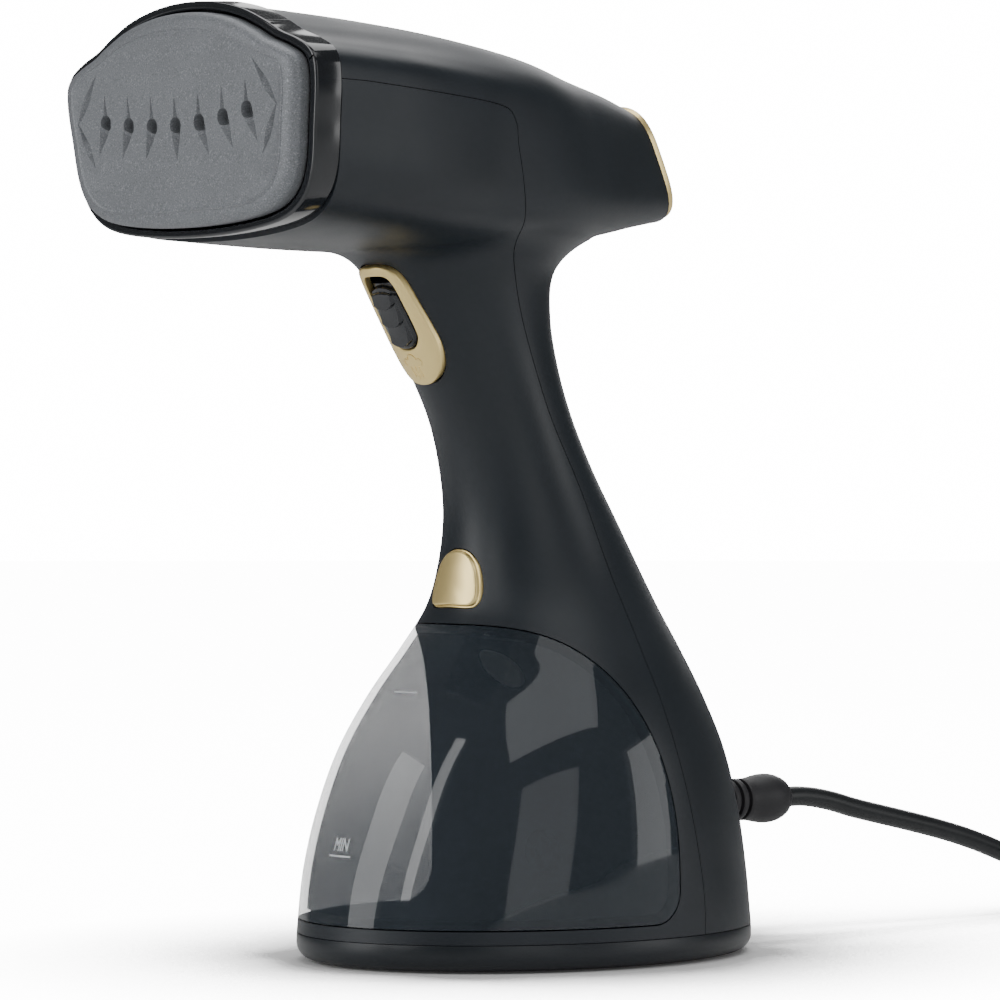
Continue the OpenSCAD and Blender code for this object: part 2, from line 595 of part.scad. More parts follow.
base_pad();
base_cap();
front_housing();
rear_housing();
head_ring();
soleplate();
plate_seal();
plate_carrier();
steam_chamber();
chamber_cover();
heating_element();
thermostat();
thermal_fuse();
steam_elbow();
chamber_screws();
trigger_bezel();
trigger();
trigger_pin();
trigger_spring();
trigger_switch();
release_button();
button_guide();
release_spring();
water_tank();
tank_valve();
tank_seal();
filler_cap();
water_socket();
pump();
pump_mount();
inlet_hose();
outlet_hose();
control_board();
mains_relay();
mains_wires();
rear_trim();
rear_cap();
power_button();
indicator_lens();
cord_clamp();
strain_relief();
power_cord();
cord_coil();
coil_tie();
plug_lead();
plug_body();
plug_pins();
base_screws();
clamp_screws();
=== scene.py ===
"""Visual model of an upright garment steamer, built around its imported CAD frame.

Sizes are in millimetres and become metres when a piece is finished, so that the outlines read like the
drawing of the object. Every finished object sits at the origin with its place in its mesh.
"""

import json
import logging
import math
from dataclasses import dataclass, field
from enum import Enum
from typing import Callable, Sequence

import bmesh
import bpy
import numpy as np
from mathutils import Matrix, Vector

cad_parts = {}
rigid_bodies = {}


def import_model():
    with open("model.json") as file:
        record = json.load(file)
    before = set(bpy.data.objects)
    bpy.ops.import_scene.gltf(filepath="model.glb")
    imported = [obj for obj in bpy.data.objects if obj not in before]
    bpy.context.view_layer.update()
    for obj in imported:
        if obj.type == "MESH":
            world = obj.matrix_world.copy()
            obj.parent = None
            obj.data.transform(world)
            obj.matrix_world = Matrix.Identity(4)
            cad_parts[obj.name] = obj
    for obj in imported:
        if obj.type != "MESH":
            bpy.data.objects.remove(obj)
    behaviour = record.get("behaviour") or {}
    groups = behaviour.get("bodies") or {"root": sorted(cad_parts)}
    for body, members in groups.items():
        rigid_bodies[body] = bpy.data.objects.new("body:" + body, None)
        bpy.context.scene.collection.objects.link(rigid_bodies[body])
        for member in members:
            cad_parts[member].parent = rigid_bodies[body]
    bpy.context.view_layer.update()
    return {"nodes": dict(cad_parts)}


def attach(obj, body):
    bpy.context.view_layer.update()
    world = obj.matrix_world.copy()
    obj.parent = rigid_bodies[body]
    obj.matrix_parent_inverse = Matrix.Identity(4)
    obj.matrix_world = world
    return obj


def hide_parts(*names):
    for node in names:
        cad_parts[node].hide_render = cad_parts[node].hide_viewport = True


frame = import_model()

LOG = logging.getLogger("garment_steamer")
MM = 0.001
SHARP_ANGLE = math.radians(32)
Array = np.ndarray
Points = Sequence[tuple[float, ...]]


# ---------------------------------------------------------------- curves
def spline(stations: Points, at: Array) -> Array:
    """Smooth values between stations.

    Args:
        stations: Rows of numbers, one row per station.
        at: Places along the list, counted in stations.

    Returns:
        One interpolated row for each place.
    """
    rows = np.asarray(stations, float)
    last = len(rows) - 1
    at = np.atleast_1d(np.asarray(at, float))
    i = np.clip(np.floor(at).astype(int), 0, last - 1)
    t = (at - i)[:, None]
    a, b = rows[np.maximum(i - 1, 0)], rows[i]
    c, d = rows[i + 1], rows[np.minimum(i + 2, last)]
    return 0.5 * (2 * b + (c - a) * t + (2 * a - 5 * b + 4 * c - d) * t**2
                  + (3 * b - a - 3 * c + d) * t**3)


def outline(right_half: Points, steps: int = 8) -> Array:
    """A smooth closed outline from its right half.

    Args:
        right_half: Points from the bottom of the axis of symmetry to its top.
        steps: Points made for each given one.

    Returns:
        The closed outline, anticlockwise, without a repeated end.
    """
    right = [tuple(p) for p in right_half]
    closed = right + [(-x, y) for x, y in right[-2:0:-1]]
    looped = closed[-1:] + closed + closed[:2]
    return spline(looped, 1 + np.arange(len(closed) * steps) / steps)


def even(loop: Array, count: int) -> Array:
    """The same closed loop with its points evenly spaced.

    Args:
        loop: Closed loop, without a repeated end.
        count: How many points to return.

    Returns:
        The points, from the loop's first one on.
    """
    closed = np.vstack([loop, loop[:1]])
    run = np.concatenate([[0], np.cumsum(np.linalg.norm(np.diff(closed, axis=0), axis=1))])
    at = np.linspace(0, run[-1], count, endpoint=False)
    return np.column_stack([np.interp(at, run, closed[:, k]) for k in range(closed.shape[1])])


def superellipse(half_x: float, half_y: float, power: float, count: int) -> Array:
    """A closed superellipse.

    Args:
        half_x: Half width.
        half_y: Half height.
        power: 2 for an ellipse, more for squarer.
        count: Number of points.

    Returns:
        The outline, anticlockwise from +X.
    """
    turn = np.linspace(0, 2 * math.pi, count, endpoint=False)
    c, s = np.cos(turn), np.sin(turn)
    reach = (np.abs(c) ** power + np.abs(s) ** power) ** (-1 / power)
    return np.column_stack([half_x * c * reach, half_y * s * reach])


# ---------------------------------------------------------------- meshes
def place(x: float = 0, y: float = 0, z: float = 0, lean: float = 0) -> Matrix:
    """A frame at a point, leant about the X axis by some degrees."""
    return Matrix.Translation((x, y, z)) @ Matrix.Rotation(math.radians(lean), 4, "X")


def sheet_of(across: int, along: int, put: Callable[[Array, Array], Array]) -> bmesh.types.BMesh:
    """A grid bent to shape, with edges that meet joined and holes closed.

    Args:
        across: Cells in the first direction.
        along: Cells in the second direction.
        put: Gives the points for the two shares, each from 0 to 1.

    Returns:
        The closed mesh.
    """
    bm = bmesh.new()
    bmesh.ops.create_grid(bm, x_segments=across, y_segments=along, size=0.5)
    share = np.array([v.co[:2] for v in bm.verts]) + 0.5
    for vert, point in zip(bm.verts, put(share[:, 0], share[:, 1])):
        vert.co = point
    bmesh.ops.remove_doubles(bm, verts=bm.verts, dist=1e-4)
    bmesh.ops.dissolve_degenerate(bm, dist=1e-5, edges=bm.edges)
    bmesh.ops.holes_fill(bm, edges=[e for e in bm.edges if e.is_boundary], sides=0)
    bmesh.ops.recalc_face_normals(bm, faces=bm.faces)
    return bm


def thickened(bm: bmesh.types.BMesh, faces: Sequence[bmesh.types.BMFace]) -> list[bmesh.types.BMVert]:
    """Extrudes faces in place and gives the new vertices."""
    made = bmesh.ops.extrude_face_region(bm, geom=faces)["geom"]
    return [v for v in made if isinstance(v, bmesh.types.BMVert)]


def prism(points: Array, low: float, high: float, at: Matrix = Matrix()) -> bmesh.types.BMesh:
    """An outline in X and Y, extruded along Z.

    Args:
        points: The outline.
        low: Lower end.
        high: Upper end.
        at: The frame.

    Returns:
        The closed mesh.
    """
    bm = bmesh.new()
    face = bm.faces.new([bm.verts.new((x, y, low)) for x, y in points])
    bmesh.ops.translate(bm, verts=thickened(bm, [face]), vec=(0, 0, high - low))
    bmesh.ops.recalc_face_normals(bm, faces=bm.faces)
    bmesh.ops.transform(bm, matrix=at, verts=bm.verts)
    return bm


def side_prism(points: Array, half_width: float = 90) -> bmesh.types.BMesh:
    """An outline in the side view, Y and Z, extruded right across X."""
    turn = Matrix(((0, 0, 1), (1, 0, 0), (0, 1, 0)))
    return prism(points, -half_width, half_width, turn.to_4x4())


def round_bar(radius: float, low: float, high: float, at: Matrix = Matrix(),
              tip: float | None = None, sides: int = 48) -> bmesh.types.BMesh:
    """A cylinder or cone along its frame's Z axis.

    Args:
        radius: Radius at the low end.
        low: Low end.
        high: High end.
        at: The frame.
        tip: Radius at the high end, the same as the low one when None.
        sides: Segments round it.

    Returns:
        The closed mesh.
    """
    bm = bmesh.new()
    mid = at @ Matrix.Translation((0, 0, (low + high) / 2))
    bmesh.ops.create_cone(bm, cap_ends=True, segments=sides, radius1=radius,
                          radius2=radius if tip is None else tip, depth=high - low, matrix=mid)
    return bm


def block(size: tuple[float, float, float], at: Matrix, edge: float = 0) -> bmesh.types.BMesh:
    """A block centred on its frame, with its edges rounded by an amount."""
    bm = bmesh.new()
    bmesh.ops.create_cube(bm, size=1, matrix=at @ Matrix.Diagonal((*size, 1)))
    if edge:
        bmesh.ops.bevel(bm, geom=bm.edges[:], offset=edge, affect="EDGES", segments=3,
                        profile=0.5, material=-1)
    return bm


def turned(profile: Points, at: Matrix, steps: int = 64) -> bmesh.types.BMesh:
    """A profile of radius and height, spun about its frame's Z axis.

    Args:
        profile: Points from one end of the axis to the other.
        at: The frame.
        steps: Segments of the full turn.

    Returns:
        The closed mesh.
    """
    bm = bmesh.new()
    verts = [bm.verts.new((r, 0, z)) for r, z in profile]
    edges = [bm.edges.new(pair) for pair in zip(verts, verts[1:])]
    bmesh.ops.spin(bm, geom=verts + edges, cent=(0, 0, 0), axis=(0, 0, 1), steps=steps,
                   angle=2 * math.pi, use_merge=True)
    bmesh.ops.remove_doubles(bm, verts=bm.verts, dist=1e-4)
    bmesh.ops.recalc_face_normals(bm, faces=bm.faces)
    bmesh.ops.transform(bm, matrix=at, verts=bm.verts)
    return bm


def plug_of(loop: Array, profile: Points, at: Matrix, around: int = 160,
            bend: Callable[[Array], Array] | None = None) -> bmesh.types.BMesh:
    """A solid whose sections all follow one outline, from the middle of its back to that of its front.

    Args:
        loop: The outline.
        profile: Rows of how far inside the outline, and the height. The ends close to a point.
        at: The frame.
        around: Points round the outline.
        bend: Moves the points at the end, in the frame.

    Returns:
        The closed mesh.
    """
    loop = even(loop, around)
    middle = loop.mean(axis=0)
    reach = np.linalg.norm(loop - middle, axis=1)
    rows = np.asarray(profile, float)

    def put(u: Array, v: Array) -> Array:
        """Points for shares round the outline and along the profile."""
        k = np.rint(u * around).astype(int) % around
        row = rows[np.rint(v * (len(rows) - 1)).astype(int)]
        shrink = np.clip(1 - row[:, 0] / reach[k], 0, None)
        flat = middle + (loop[k] - middle) * shrink[:, None]
        points = np.column_stack([flat, row[:, 1]])
        return bend(points) if bend else points

    bm = sheet_of(around, len(rows) - 1, put)
    bmesh.ops.transform(bm, matrix=at, verts=bm.verts)
    return bm


def band_of(outer: Array, inner: Array, back: float, front: float, edge: float, at: Matrix,
            around: int = 192, bend: Callable[[Array], Array] | None = None,
            cells: int = 5, crown: float = 0) -> bmesh.types.BMesh:
    """A closed band between two outlines, with rounded edges.

    Args:
        outer: Outer outline.
        inner: Inner outline.
        back: Height of its back.
        front: Height of its front.
        edge: Radius of its front edges.
        at: The frame.
        around: Points round each outline.
        bend: Moves the points at the end, in the frame.
        cells: Cells across its front.
        crown: How much the middle of the front stands above the edges.

    Returns:
        The closed mesh.
    """
    outer, inner = even(outer, around), even(inner, around)
    width = np.linalg.norm(outer - inner, axis=1)
    arc = [(1 - math.cos(a), 1 - math.sin(a)) for a in np.linspace(0, math.pi / 2, 4)]
    # each row: share of the width, edge radii to add to it, height as a share below the front
    rise = [(0, e, d, 0) for e, d in arc]
    flat = [(k / cells, 1 - 2 * k / cells, 0, math.sin(math.pi * k / cells)) for k in range(1, cells)]
    fall = [(1, -e, d, 0) for e, d in reversed(arc)]
    floor = [(1, 0, None, 0), (0.5, 0, None, 0), (0, 0, None, 0)]
    rows = rise + flat + fall + floor + rise[:1]

    def put(u: Array, v: Array) -> Array:
        """Points for shares round the outlines and round the section."""
        k = np.rint(u * around).astype(int) % around
        out = []
        for j, n in zip(k, np.rint(v * (len(rows) - 1)).astype(int)):
            share, radii, drop, lift = rows[n]
            s = share + radii * edge / max(width[j], 1e-6)
            flat_point = outer[j] + (inner[j] - outer[j]) * s
            out.append((*flat_point, back if drop is None else front - drop * edge + lift * crown))
        points = np.array(out)
        return bend(points) if bend else points

    bm = sheet_of(around, len(rows) - 1, put)
    bmesh.ops.transform(bm, matrix=at, verts=bm.verts)
    return bm


class Cut(Enum):
    """How one solid works on another."""

    TAKE = "DIFFERENCE"
    KEEP = "INTERSECT"
    JOIN = "UNION"


def add_object(name: str, data: bpy.types.ID) -> bpy.types.Object:
    """Adds a new object to the scene."""
    made = bpy.data.objects.new(name, data)
    bpy.context.scene.collection.objects.link(made)
    return made


def to_object(bm: bmesh.types.BMesh, name: str) -> bpy.types.Object:
    """Puts a finished bmesh into a new object of the scene."""
    mesh = bpy.data.meshes.new(name)
    bm.to_mesh(mesh)
    bm.free()
    return add_object(name, mesh)


def to_tool(piece: bpy.types.Object) -> bmesh.types.BMesh:
    """Takes an object out of the scene and gives its mesh as a tool."""
    tool = bmesh.new()
    tool.from_mesh(piece.data)
    bpy.data.objects.remove(piece)
    return tool


def evaluated(piece: bpy.types.Object) -> bpy.types.Mesh:
    """A new mesh of a piece, a curve or a text as it stands, with its modifiers."""
    graph = bpy.context.evaluated_depsgraph_get()
    graph.update()
    return bpy.data.meshes.new_from_object(piece.evaluated_get(graph))


def bake_modifiers(piece: bpy.types.Object) -> None:
    """Applies every modifier of a piece to its mesh."""
    done = evaluated(piece)
    piece.modifiers.clear()
    piece.data = done


def work(piece: bpy.types.Object, tool: bmesh.types.BMesh, how: Cut) -> bpy.types.Object:
    """Cuts, trims or joins a piece with a closed tool shape.

    Args:
        piece: The piece to work on.
        tool: The tool's mesh, which is used up.
        how: What to do with it.

    Returns:
        The same piece.
    """
    cutter = to_object(tool, "tool")
    step = piece.modifiers.new("work", "BOOLEAN")
    step.object, step.operation, step.solver = cutter, how.value, "MANIFOLD"
    bake_modifiers(piece)
    bpy.data.objects.remove(cutter)
    return piece


def merged(*shapes: bmesh.types.BMesh) -> bmesh.types.BMesh:
    """Several closed shapes in one mesh."""
    whole = bmesh.new()
    for shape in shapes:
        part = bpy.data.meshes.new("part")
        shape.to_mesh(part)
        shape.free()
        whole.from_mesh(part)
        bpy.data.meshes.remove(part)
    return whole


def tube(name: str, points: Points, radius: float, fine: int = 6, sides: int = 2) -> bpy.types.Object:
    """A smooth curve of a thickness along a path, with closed ends.

    Args:
        name: Its name.
        points: The path.
        radius: Its radius, in the unit of the path.
        fine: Steps from one point to the next.
        sides: How finely its section is divided.

    Returns:
        The curve object.
    """
    data = bpy.data.curves.new(name, "CURVE")
    data.dimensions, data.resolution_u = "3D", fine
    data.bevel_depth, data.bevel_resolution, data.use_fill_caps = radius, sides, True
    line = data.splines.new("BEZIER")
    line.bezier_points.add(len(points) - 1)
    for knot, point in zip(line.bezier_points, points):
        knot.co = point
        knot.handle_left_type = knot.handle_right_type = "AUTO"
    return add_object(name, data)


# ---------------------------------------------------------------- finishes
class Val:
    """A shader value: one output socket, with Python's operators as Math nodes."""

    def __init__(self, tree: "Shader", socket: bpy.types.NodeSocket) -> None:
        """Wraps a socket of a shader's tree."""
        self.tree = tree
        self.socket = socket

    def _math(self, operation: str, *values: "Val | float") -> "Val":
        """A Math node on this tree."""
        return self.tree.node("ShaderNodeMath", {"operation": operation}, *values)

    def __add__(self, other: "Val | float") -> "Val":
        """self + other."""
        return self._math("ADD", self, other)

    def __radd__(self, other: float) -> "Val":
        """other + self."""
        return self._math("ADD", other, self)

    def __sub__(self, other: "Val | float") -> "Val":
        """self - other."""
        return self._math("SUBTRACT", self, other)

    def __rsub__(self, other: float) -> "Val":
        """other - self."""
        return self._math("SUBTRACT", other, self)

    def __mul__(self, other: "Val | float") -> "Val":
        """self * other."""
        return self._math("MULTIPLY", self, other)

    def __rmul__(self, other: float) -> "Val":
        """other * self."""
        return self._math("MULTIPLY", other, self)

    def step(self, low: float, high: float) -> "Val":
        """0 below low, 1 above high and smooth between."""
        settings = {"interpolation_type": "SMOOTHSTEP"}
        return self.tree.node("ShaderNodeMapRange", settings, self, low, high, 0.0, 1.0)


class Shader:
    """A material's node tree, with one method for every kind of node."""

    def __init__(self, name: str) -> None:
        """Starts a material with only its output and its main shader."""
        self.material = bpy.data.materials.new(name)
        self.material.use_nodes = True
        self.nodes = self.material.node_tree.nodes
        self.links = self.material.node_tree.links
        self.nodes.clear()
        self.out = self.nodes.new("ShaderNodeOutputMaterial")
        self.main = self.nodes.new("ShaderNodeBsdfPrincipled")
        self.links.new(self.main.outputs[0], self.out.inputs["Surface"])

    def feed(self, socket: bpy.types.NodeSocket, value: object) -> None:
        """Sets a socket to a number or colour, or links a value to it."""
        if isinstance(value, Val):
            self.links.new(value.socket, socket)
        else:
            socket.default_value = value

    def node(self, kind: str, settings: dict[str, object] | None = None, *values: object,
             output: int | str = 0, **named: object) -> Val:
        """Makes a node.

        Args:
            kind: The node's type.
            settings: What is set on the node before its sockets.
            *values: Numbers or values for its first sockets, in order. None leaves one alone.
            output: Which output to return.
            **named: Numbers or values for sockets by name, with _ for a space.

        Returns:
            The wanted output.
        """
        made = self.nodes.new(kind)
        for key, value in (settings or {}).items():
            setattr(made, key, value)
        for socket, value in zip(made.inputs, values):
            if value is not None:
                self.feed(socket, value)
        for key, value in named.items():
            self.feed(made.inputs[key.replace("_", " ")], value)
        return Val(self, made.outputs[output])

    def place(self, stretch: tuple[float, float, float] = (1, 1, 1)) -> Val:
        """Object coordinates, stretched along the axes."""
        at = self.node("ShaderNodeTexCoord", output="Object")
        return self.node("ShaderNodeMapping", None, at, Scale=stretch)

    def noise(self, size_mm: float, at: Val | None = None, detail: float = 2.0) -> Val:
        """Noise from 0 to 1 with features of a size."""
        return self.node("ShaderNodeTexNoise", None, at or self.place(), Scale=1000 / size_mm,
                         Detail=detail, output="Fac")

    def axis(self, name: str) -> Val:
        """One coordinate of the object, in metres."""
        at = self.node("ShaderNodeTexCoord", output="Object")
        return self.node("ShaderNodeSeparateXYZ", None, at, output=name)

    def tint(self, share: Val, dark: object, light: object) -> Val:
        """A colour between two, by a share. Either may be a colour or a value."""
        made = self.nodes.new("ShaderNodeMix")
        made.data_type = "RGBA"
        for index, value in ((0, share), (6, dark), (7, light)):
            self.feed(made.inputs[index], value)
        return Val(self, made.outputs[2])

    def bump(self, height: Val, depth_mm: float) -> None:
        """Gives the main shader a bump of a depth."""
        made = self.node("ShaderNodeBump", None, Strength=1.0, Distance=depth_mm * MM,
                         Height=height)
        self.feed(self.main.inputs["Normal"], made)

    def set(self, **named: object) -> None:
        """Sets sockets of the main shader by name, with _ for a space."""
        for key, value in named.items():
            self.feed(self.main.inputs[key.replace("_", " ")], value)


def grey(level: float) -> tuple[float, float, float, float]:
    """A neutral colour."""
    return (level, level, level, 1.0)


def shade(colour: Sequence[float], by: float) -> tuple[float, float, float, float]:
    """A colour made lighter or darker by a factor."""
    return (*(min(1.0, c * by) for c in colour[:3]), 1.0)


@dataclass(frozen=True)
class Finish:
    """A finish: its colour, gloss and fine surface.

    The base class is a moulded plastic or rubber with a fine spark-eroded grain.
    """

    name: str
    colour: tuple[float, float, float]
    roughness: float = 0.45
    grain_mm: float = 0.5
    grain_depth: float = 0.01
    vary: float = 0.12
    metallic: float = 0.0
    coat: float = 0.0
    ior: float = 1.47
    sheen: float = 0.0
    stretch: tuple[float, float, float] = (1, 1, 1)

    def material(self) -> bpy.types.Material:
        """The finish's material, made once."""
        known = bpy.data.materials.get(self.name)
        if known:
            return known
        shader = Shader(self.name)
        shader.set(Metallic=self.metallic, Coat_Weight=self.coat, Coat_Roughness=0.08,
                   IOR=self.ior, Sheen_Weight=self.sheen)
        self.dress(shader)
        return shader.material

    def dress(self, shader: Shader) -> None:
        """Builds what varies over the surface."""
        at = shader.place(self.stretch)
        fine = shader.noise(self.grain_mm, at, 3.0)
        broad = shader.noise(38, detail=2.0)
        rubbed = (broad * 0.65 + fine * 0.35).step(0.3, 0.7)
        shader.set(
            Base_Color=shader.tint(rubbed, shade(self.colour, 1 - self.vary),
                                   shade(self.colour, 1 + self.vary)),
            Roughness=self.roughness * (0.86 + 0.28 * rubbed))
        shader.bump(fine, self.grain_depth)


@dataclass(frozen=True)
class Brushed(Finish):
    """A metal finished in one direction, with fine lines."""

    metallic: float = 1.0

    def dress(self, shader: Shader) -> None:
        """Adds lines to the fine grain."""
        at = shader.place(self.stretch)
        lines = shader.noise(self.grain_mm, at, 4.0)
        cloud = shader.noise(14, detail=3.0)
        shader.set(
            Base_Color=shader.tint(lines * 0.5 + cloud * 0.5, shade(self.colour, 1 - self.vary),
                                   shade(self.colour, 1 + self.vary)),
            Roughness=self.roughness * (0.8 + 0.4 * lines))
        shader.bump(lines, self.grain_depth)


@dataclass(frozen=True)
class SpeckledCoating(Finish):
    """The soleplate's coating: grey, with fine bright and dark flakes."""

    def dress(self, shader: Shader) -> None:
        """Scatters the flakes."""
        flakes = shader.node("ShaderNodeTexVoronoi", None, shader.place(), Scale=1900,
                             output="Distance")
        fine = shader.noise(0.42, detail=3.0)
        broad = shader.noise(16, detail=2.0)
        bright = fine.step(0.56, 0.7)
        dark = fine.step(0.46, 0.34)
        base = shader.tint(broad, shade(self.colour, 0.9), shade(self.colour, 1.1))
        light = shader.tint(bright * 0.75, base, shade(self.colour, 2.1))
        shader.set(Base_Color=shader.tint(dark * 0.5, light, shade(self.colour, 0.5)),
                   Roughness=0.34 + 0.2 * flakes + 0.12 * fine,
                   Metallic=0.25 + 0.5 * bright)
        shader.bump(fine + 0.4 * flakes, 0.035)


@dataclass(frozen=True)
class SmokedClear(Finish):
    """Clear plastic, tinted: how much it hides is set, and it thickens towards its foot."""

    cover: float = 0.6

    def dress(self, shader: Shader) -> None:
        """Makes the tint, with faint flow marks."""
        flow = shader.noise(26, shader.place((1, 1, 0.35)), 1.0)
        foot = shader.axis("Z").step(0.075, 0.012)
        shader.set(
            Base_Color=shader.tint(flow, shade(self.colour, 0.8), shade(self.colour, 1.2)),
            Roughness=self.roughness * (0.7 + 0.6 * flow),
            Alpha=self.cover + 0.1 * foot + 0.05 * flow)
        shader.bump(flow, 0.02)
        shader.material.use_transparency_overlap = False


@dataclass(frozen=True)
class CircuitBoard(Finish):
    """Solder mask over copper tracks."""

    def dress(self, shader: Shader) -> None:
        """Draws the tracks."""
        cells = shader.node("ShaderNodeTexVoronoi", {"distance": "MANHATTAN"}, shader.place(),
                            Scale=320, output="Distance")
        track = cells.step(0.32, 0.36)
        shader.set(Base_Color=shader.tint(track, shade(self.colour, 0.8), shade(self.colour, 1.9)),
                   Roughness=0.3 + 0.15 * track)
        shader.bump(track, 0.03)


HOUSING = Finish("housing_satin", (0.0105, 0.0155, 0.0215), 0.42, 0.34, 0.004, 0.1)
BASE_SATIN = Finish("base_satin", (0.0105, 0.0145, 0.0190), 0.36, 0.34, 0.003, 0.1)
GLOSS_BLACK = Finish("gloss_black", (0.010, 0.012, 0.015), 0.13, 2.0, 0.001, 0.15, coat=0.5)
TRIGGER_BLACK = Finish("trigger_black", (0.014, 0.017, 0.021), 0.22, 0.6, 0.002, 0.15, coat=0.3)
GOLD = Brushed("champagne_gold", (1.0, 0.77, 0.34), 0.34, 0.16, 0.003, 0.04, stretch=(1, 1, 0.2),
               metallic=0.8)
SOLEPLATE = SpeckledCoating("speckled_soleplate", (0.19, 0.2, 0.215))
SMOKE = SmokedClear("smoked_clear", (0.035, 0.045, 0.056), 0.035, ior=1.5, cover=0.6)
RUBBER = Finish("soft_rubber", (0.018, 0.019, 0.021), 0.62, 0.4, 0.02, 0.2, sheen=0.15)
CORD_SHEATH = Finish("cord_sheath", (0.012, 0.014, 0.016), 0.36, 0.7, 0.01, 0.18)
MARKING = Finish("pale_marking", (0.8, 0.82, 0.85), 0.5, 0.2, 0.002, 0.06)
SILICONE = Finish("silicone", (0.62, 0.61, 0.58), 0.42, 0.9, 0.01, 0.06)
TRIM_BLACK = Finish("dark_moulding", (0.02, 0.02, 0.023), 0.5, 0.5, 0.01, 0.15)
CAST = Brushed("cast_aluminium", (0.62, 0.62, 0.64), 0.48, 0.8, 0.05, 0.14)
SHEET = Brushed("sheet_steel", (0.56, 0.56, 0.57), 0.32, 0.2, 0.006, 0.08, stretch=(0.1, 1, 1))
TINTED = Brushed("heat_tinted_steel", (0.28, 0.22, 0.18), 0.38, 0.5, 0.01, 0.25)
CERAMIC = Finish("glazed_ceramic", (0.78, 0.72, 0.6), 0.18, 1.5, 0.004, 0.05, coat=0.4)
BRASS = Brushed("turned_brass", (0.68, 0.48, 0.2), 0.28, 0.25, 0.005, 0.1)
ZINC = Brushed("zinc_plate", (0.62, 0.62, 0.6), 0.3, 0.4, 0.004, 0.1)
NICKEL = Brushed("nickel_plate", (0.66, 0.64, 0.6), 0.16, 0.3, 0.002, 0.05)
PUMP = Finish("pump_winding", (0.32, 0.13, 0.05), 0.4, 0.45, 0.06, 0.3, stretch=(0.1, 0.1, 1))
BOARD = CircuitBoard("circuit_board", (0.015, 0.11, 0.05), 0.3)
RELAY = Finish("relay_case", (0.02, 0.07, 0.24), 0.3, 1.2, 0.004, 0.1)
WIRE = Finish("wire_jacket", (0.24, 0.07, 0.03), 0.38, 0.8, 0.01, 0.15)
AMBER = SmokedClear("amber_lens", (0.75, 0.3, 0.1), 0.25, cover=0.8)


def finish_piece(piece: bpy.types.Object, finish: Finish, body: str,
                 stands_for: Sequence[str] = (), sharp: float = SHARP_ANGLE) -> bpy.types.Object:
    """Scales, smooths and dresses a finished shape, and hands it to the frame.

    Args:
        piece: The shape, with its mesh in millimetres.
        finish: Its finish.
        body: The body it rides on.
        stands_for: The CAD nodes that it replaces.
        sharp: Faces that meet at more than this angle keep a crisp edge.

    Returns:
        The same piece.
    """
    piece.data.transform(Matrix.Scale(MM, 4))
    piece.data.materials.clear()
    piece.data.materials.append(finish.material())
    piece.data.shade_smooth()
    piece.data.set_sharp_from_angle(angle=sharp)
    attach(piece, body)
    if stands_for:
        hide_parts(*stands_for)
    LOG.info("%s: %d faces", piece.name, len(piece.data.polygons))
    return piece


# ---------------------------------------------------------------- main forms
PLATE_HALF = ((0, -29), (20, -28.3), (37, -26), (46.3, -21.5), (51, -14), (53.2, -2), (54.6, 8.5),
              (53.3, 14.6), (47.5, 18), (40, 20.7), (33.5, 23.8), (24, 27.4), (12, 29.8), (0, 30.5))
PLATE_EDGE = outline(PLATE_HALF)
PLATE_REACH, PLATE_FOOT, PLATE_RISE = 54.6, -29, 29.75
AT_PLATE = place(0, -128, 238, 94)
WALL = 2.2
# the plane at each end of the head: its Y at a height, how far it leans, and that height
FRONT_END = (-114, 0.07, 238.8)
TAIL_END = (37.33, 0.455, 233.455)
SEAM = spline(((21, -5), (20.4, 18), (16.5, 39), (12.5, 62), (10.5, 83), (9, 103), (4.4, 127),
               (0, 141), (-9, 160), (-20, 186), (-26.5, 203), (-36, 218), (-40.5, 232),
               (-42.5, 241), (-50, 244.6), (-80, 246.2), (-140, 248.8)), np.arange(0, 16.01, 0.2))


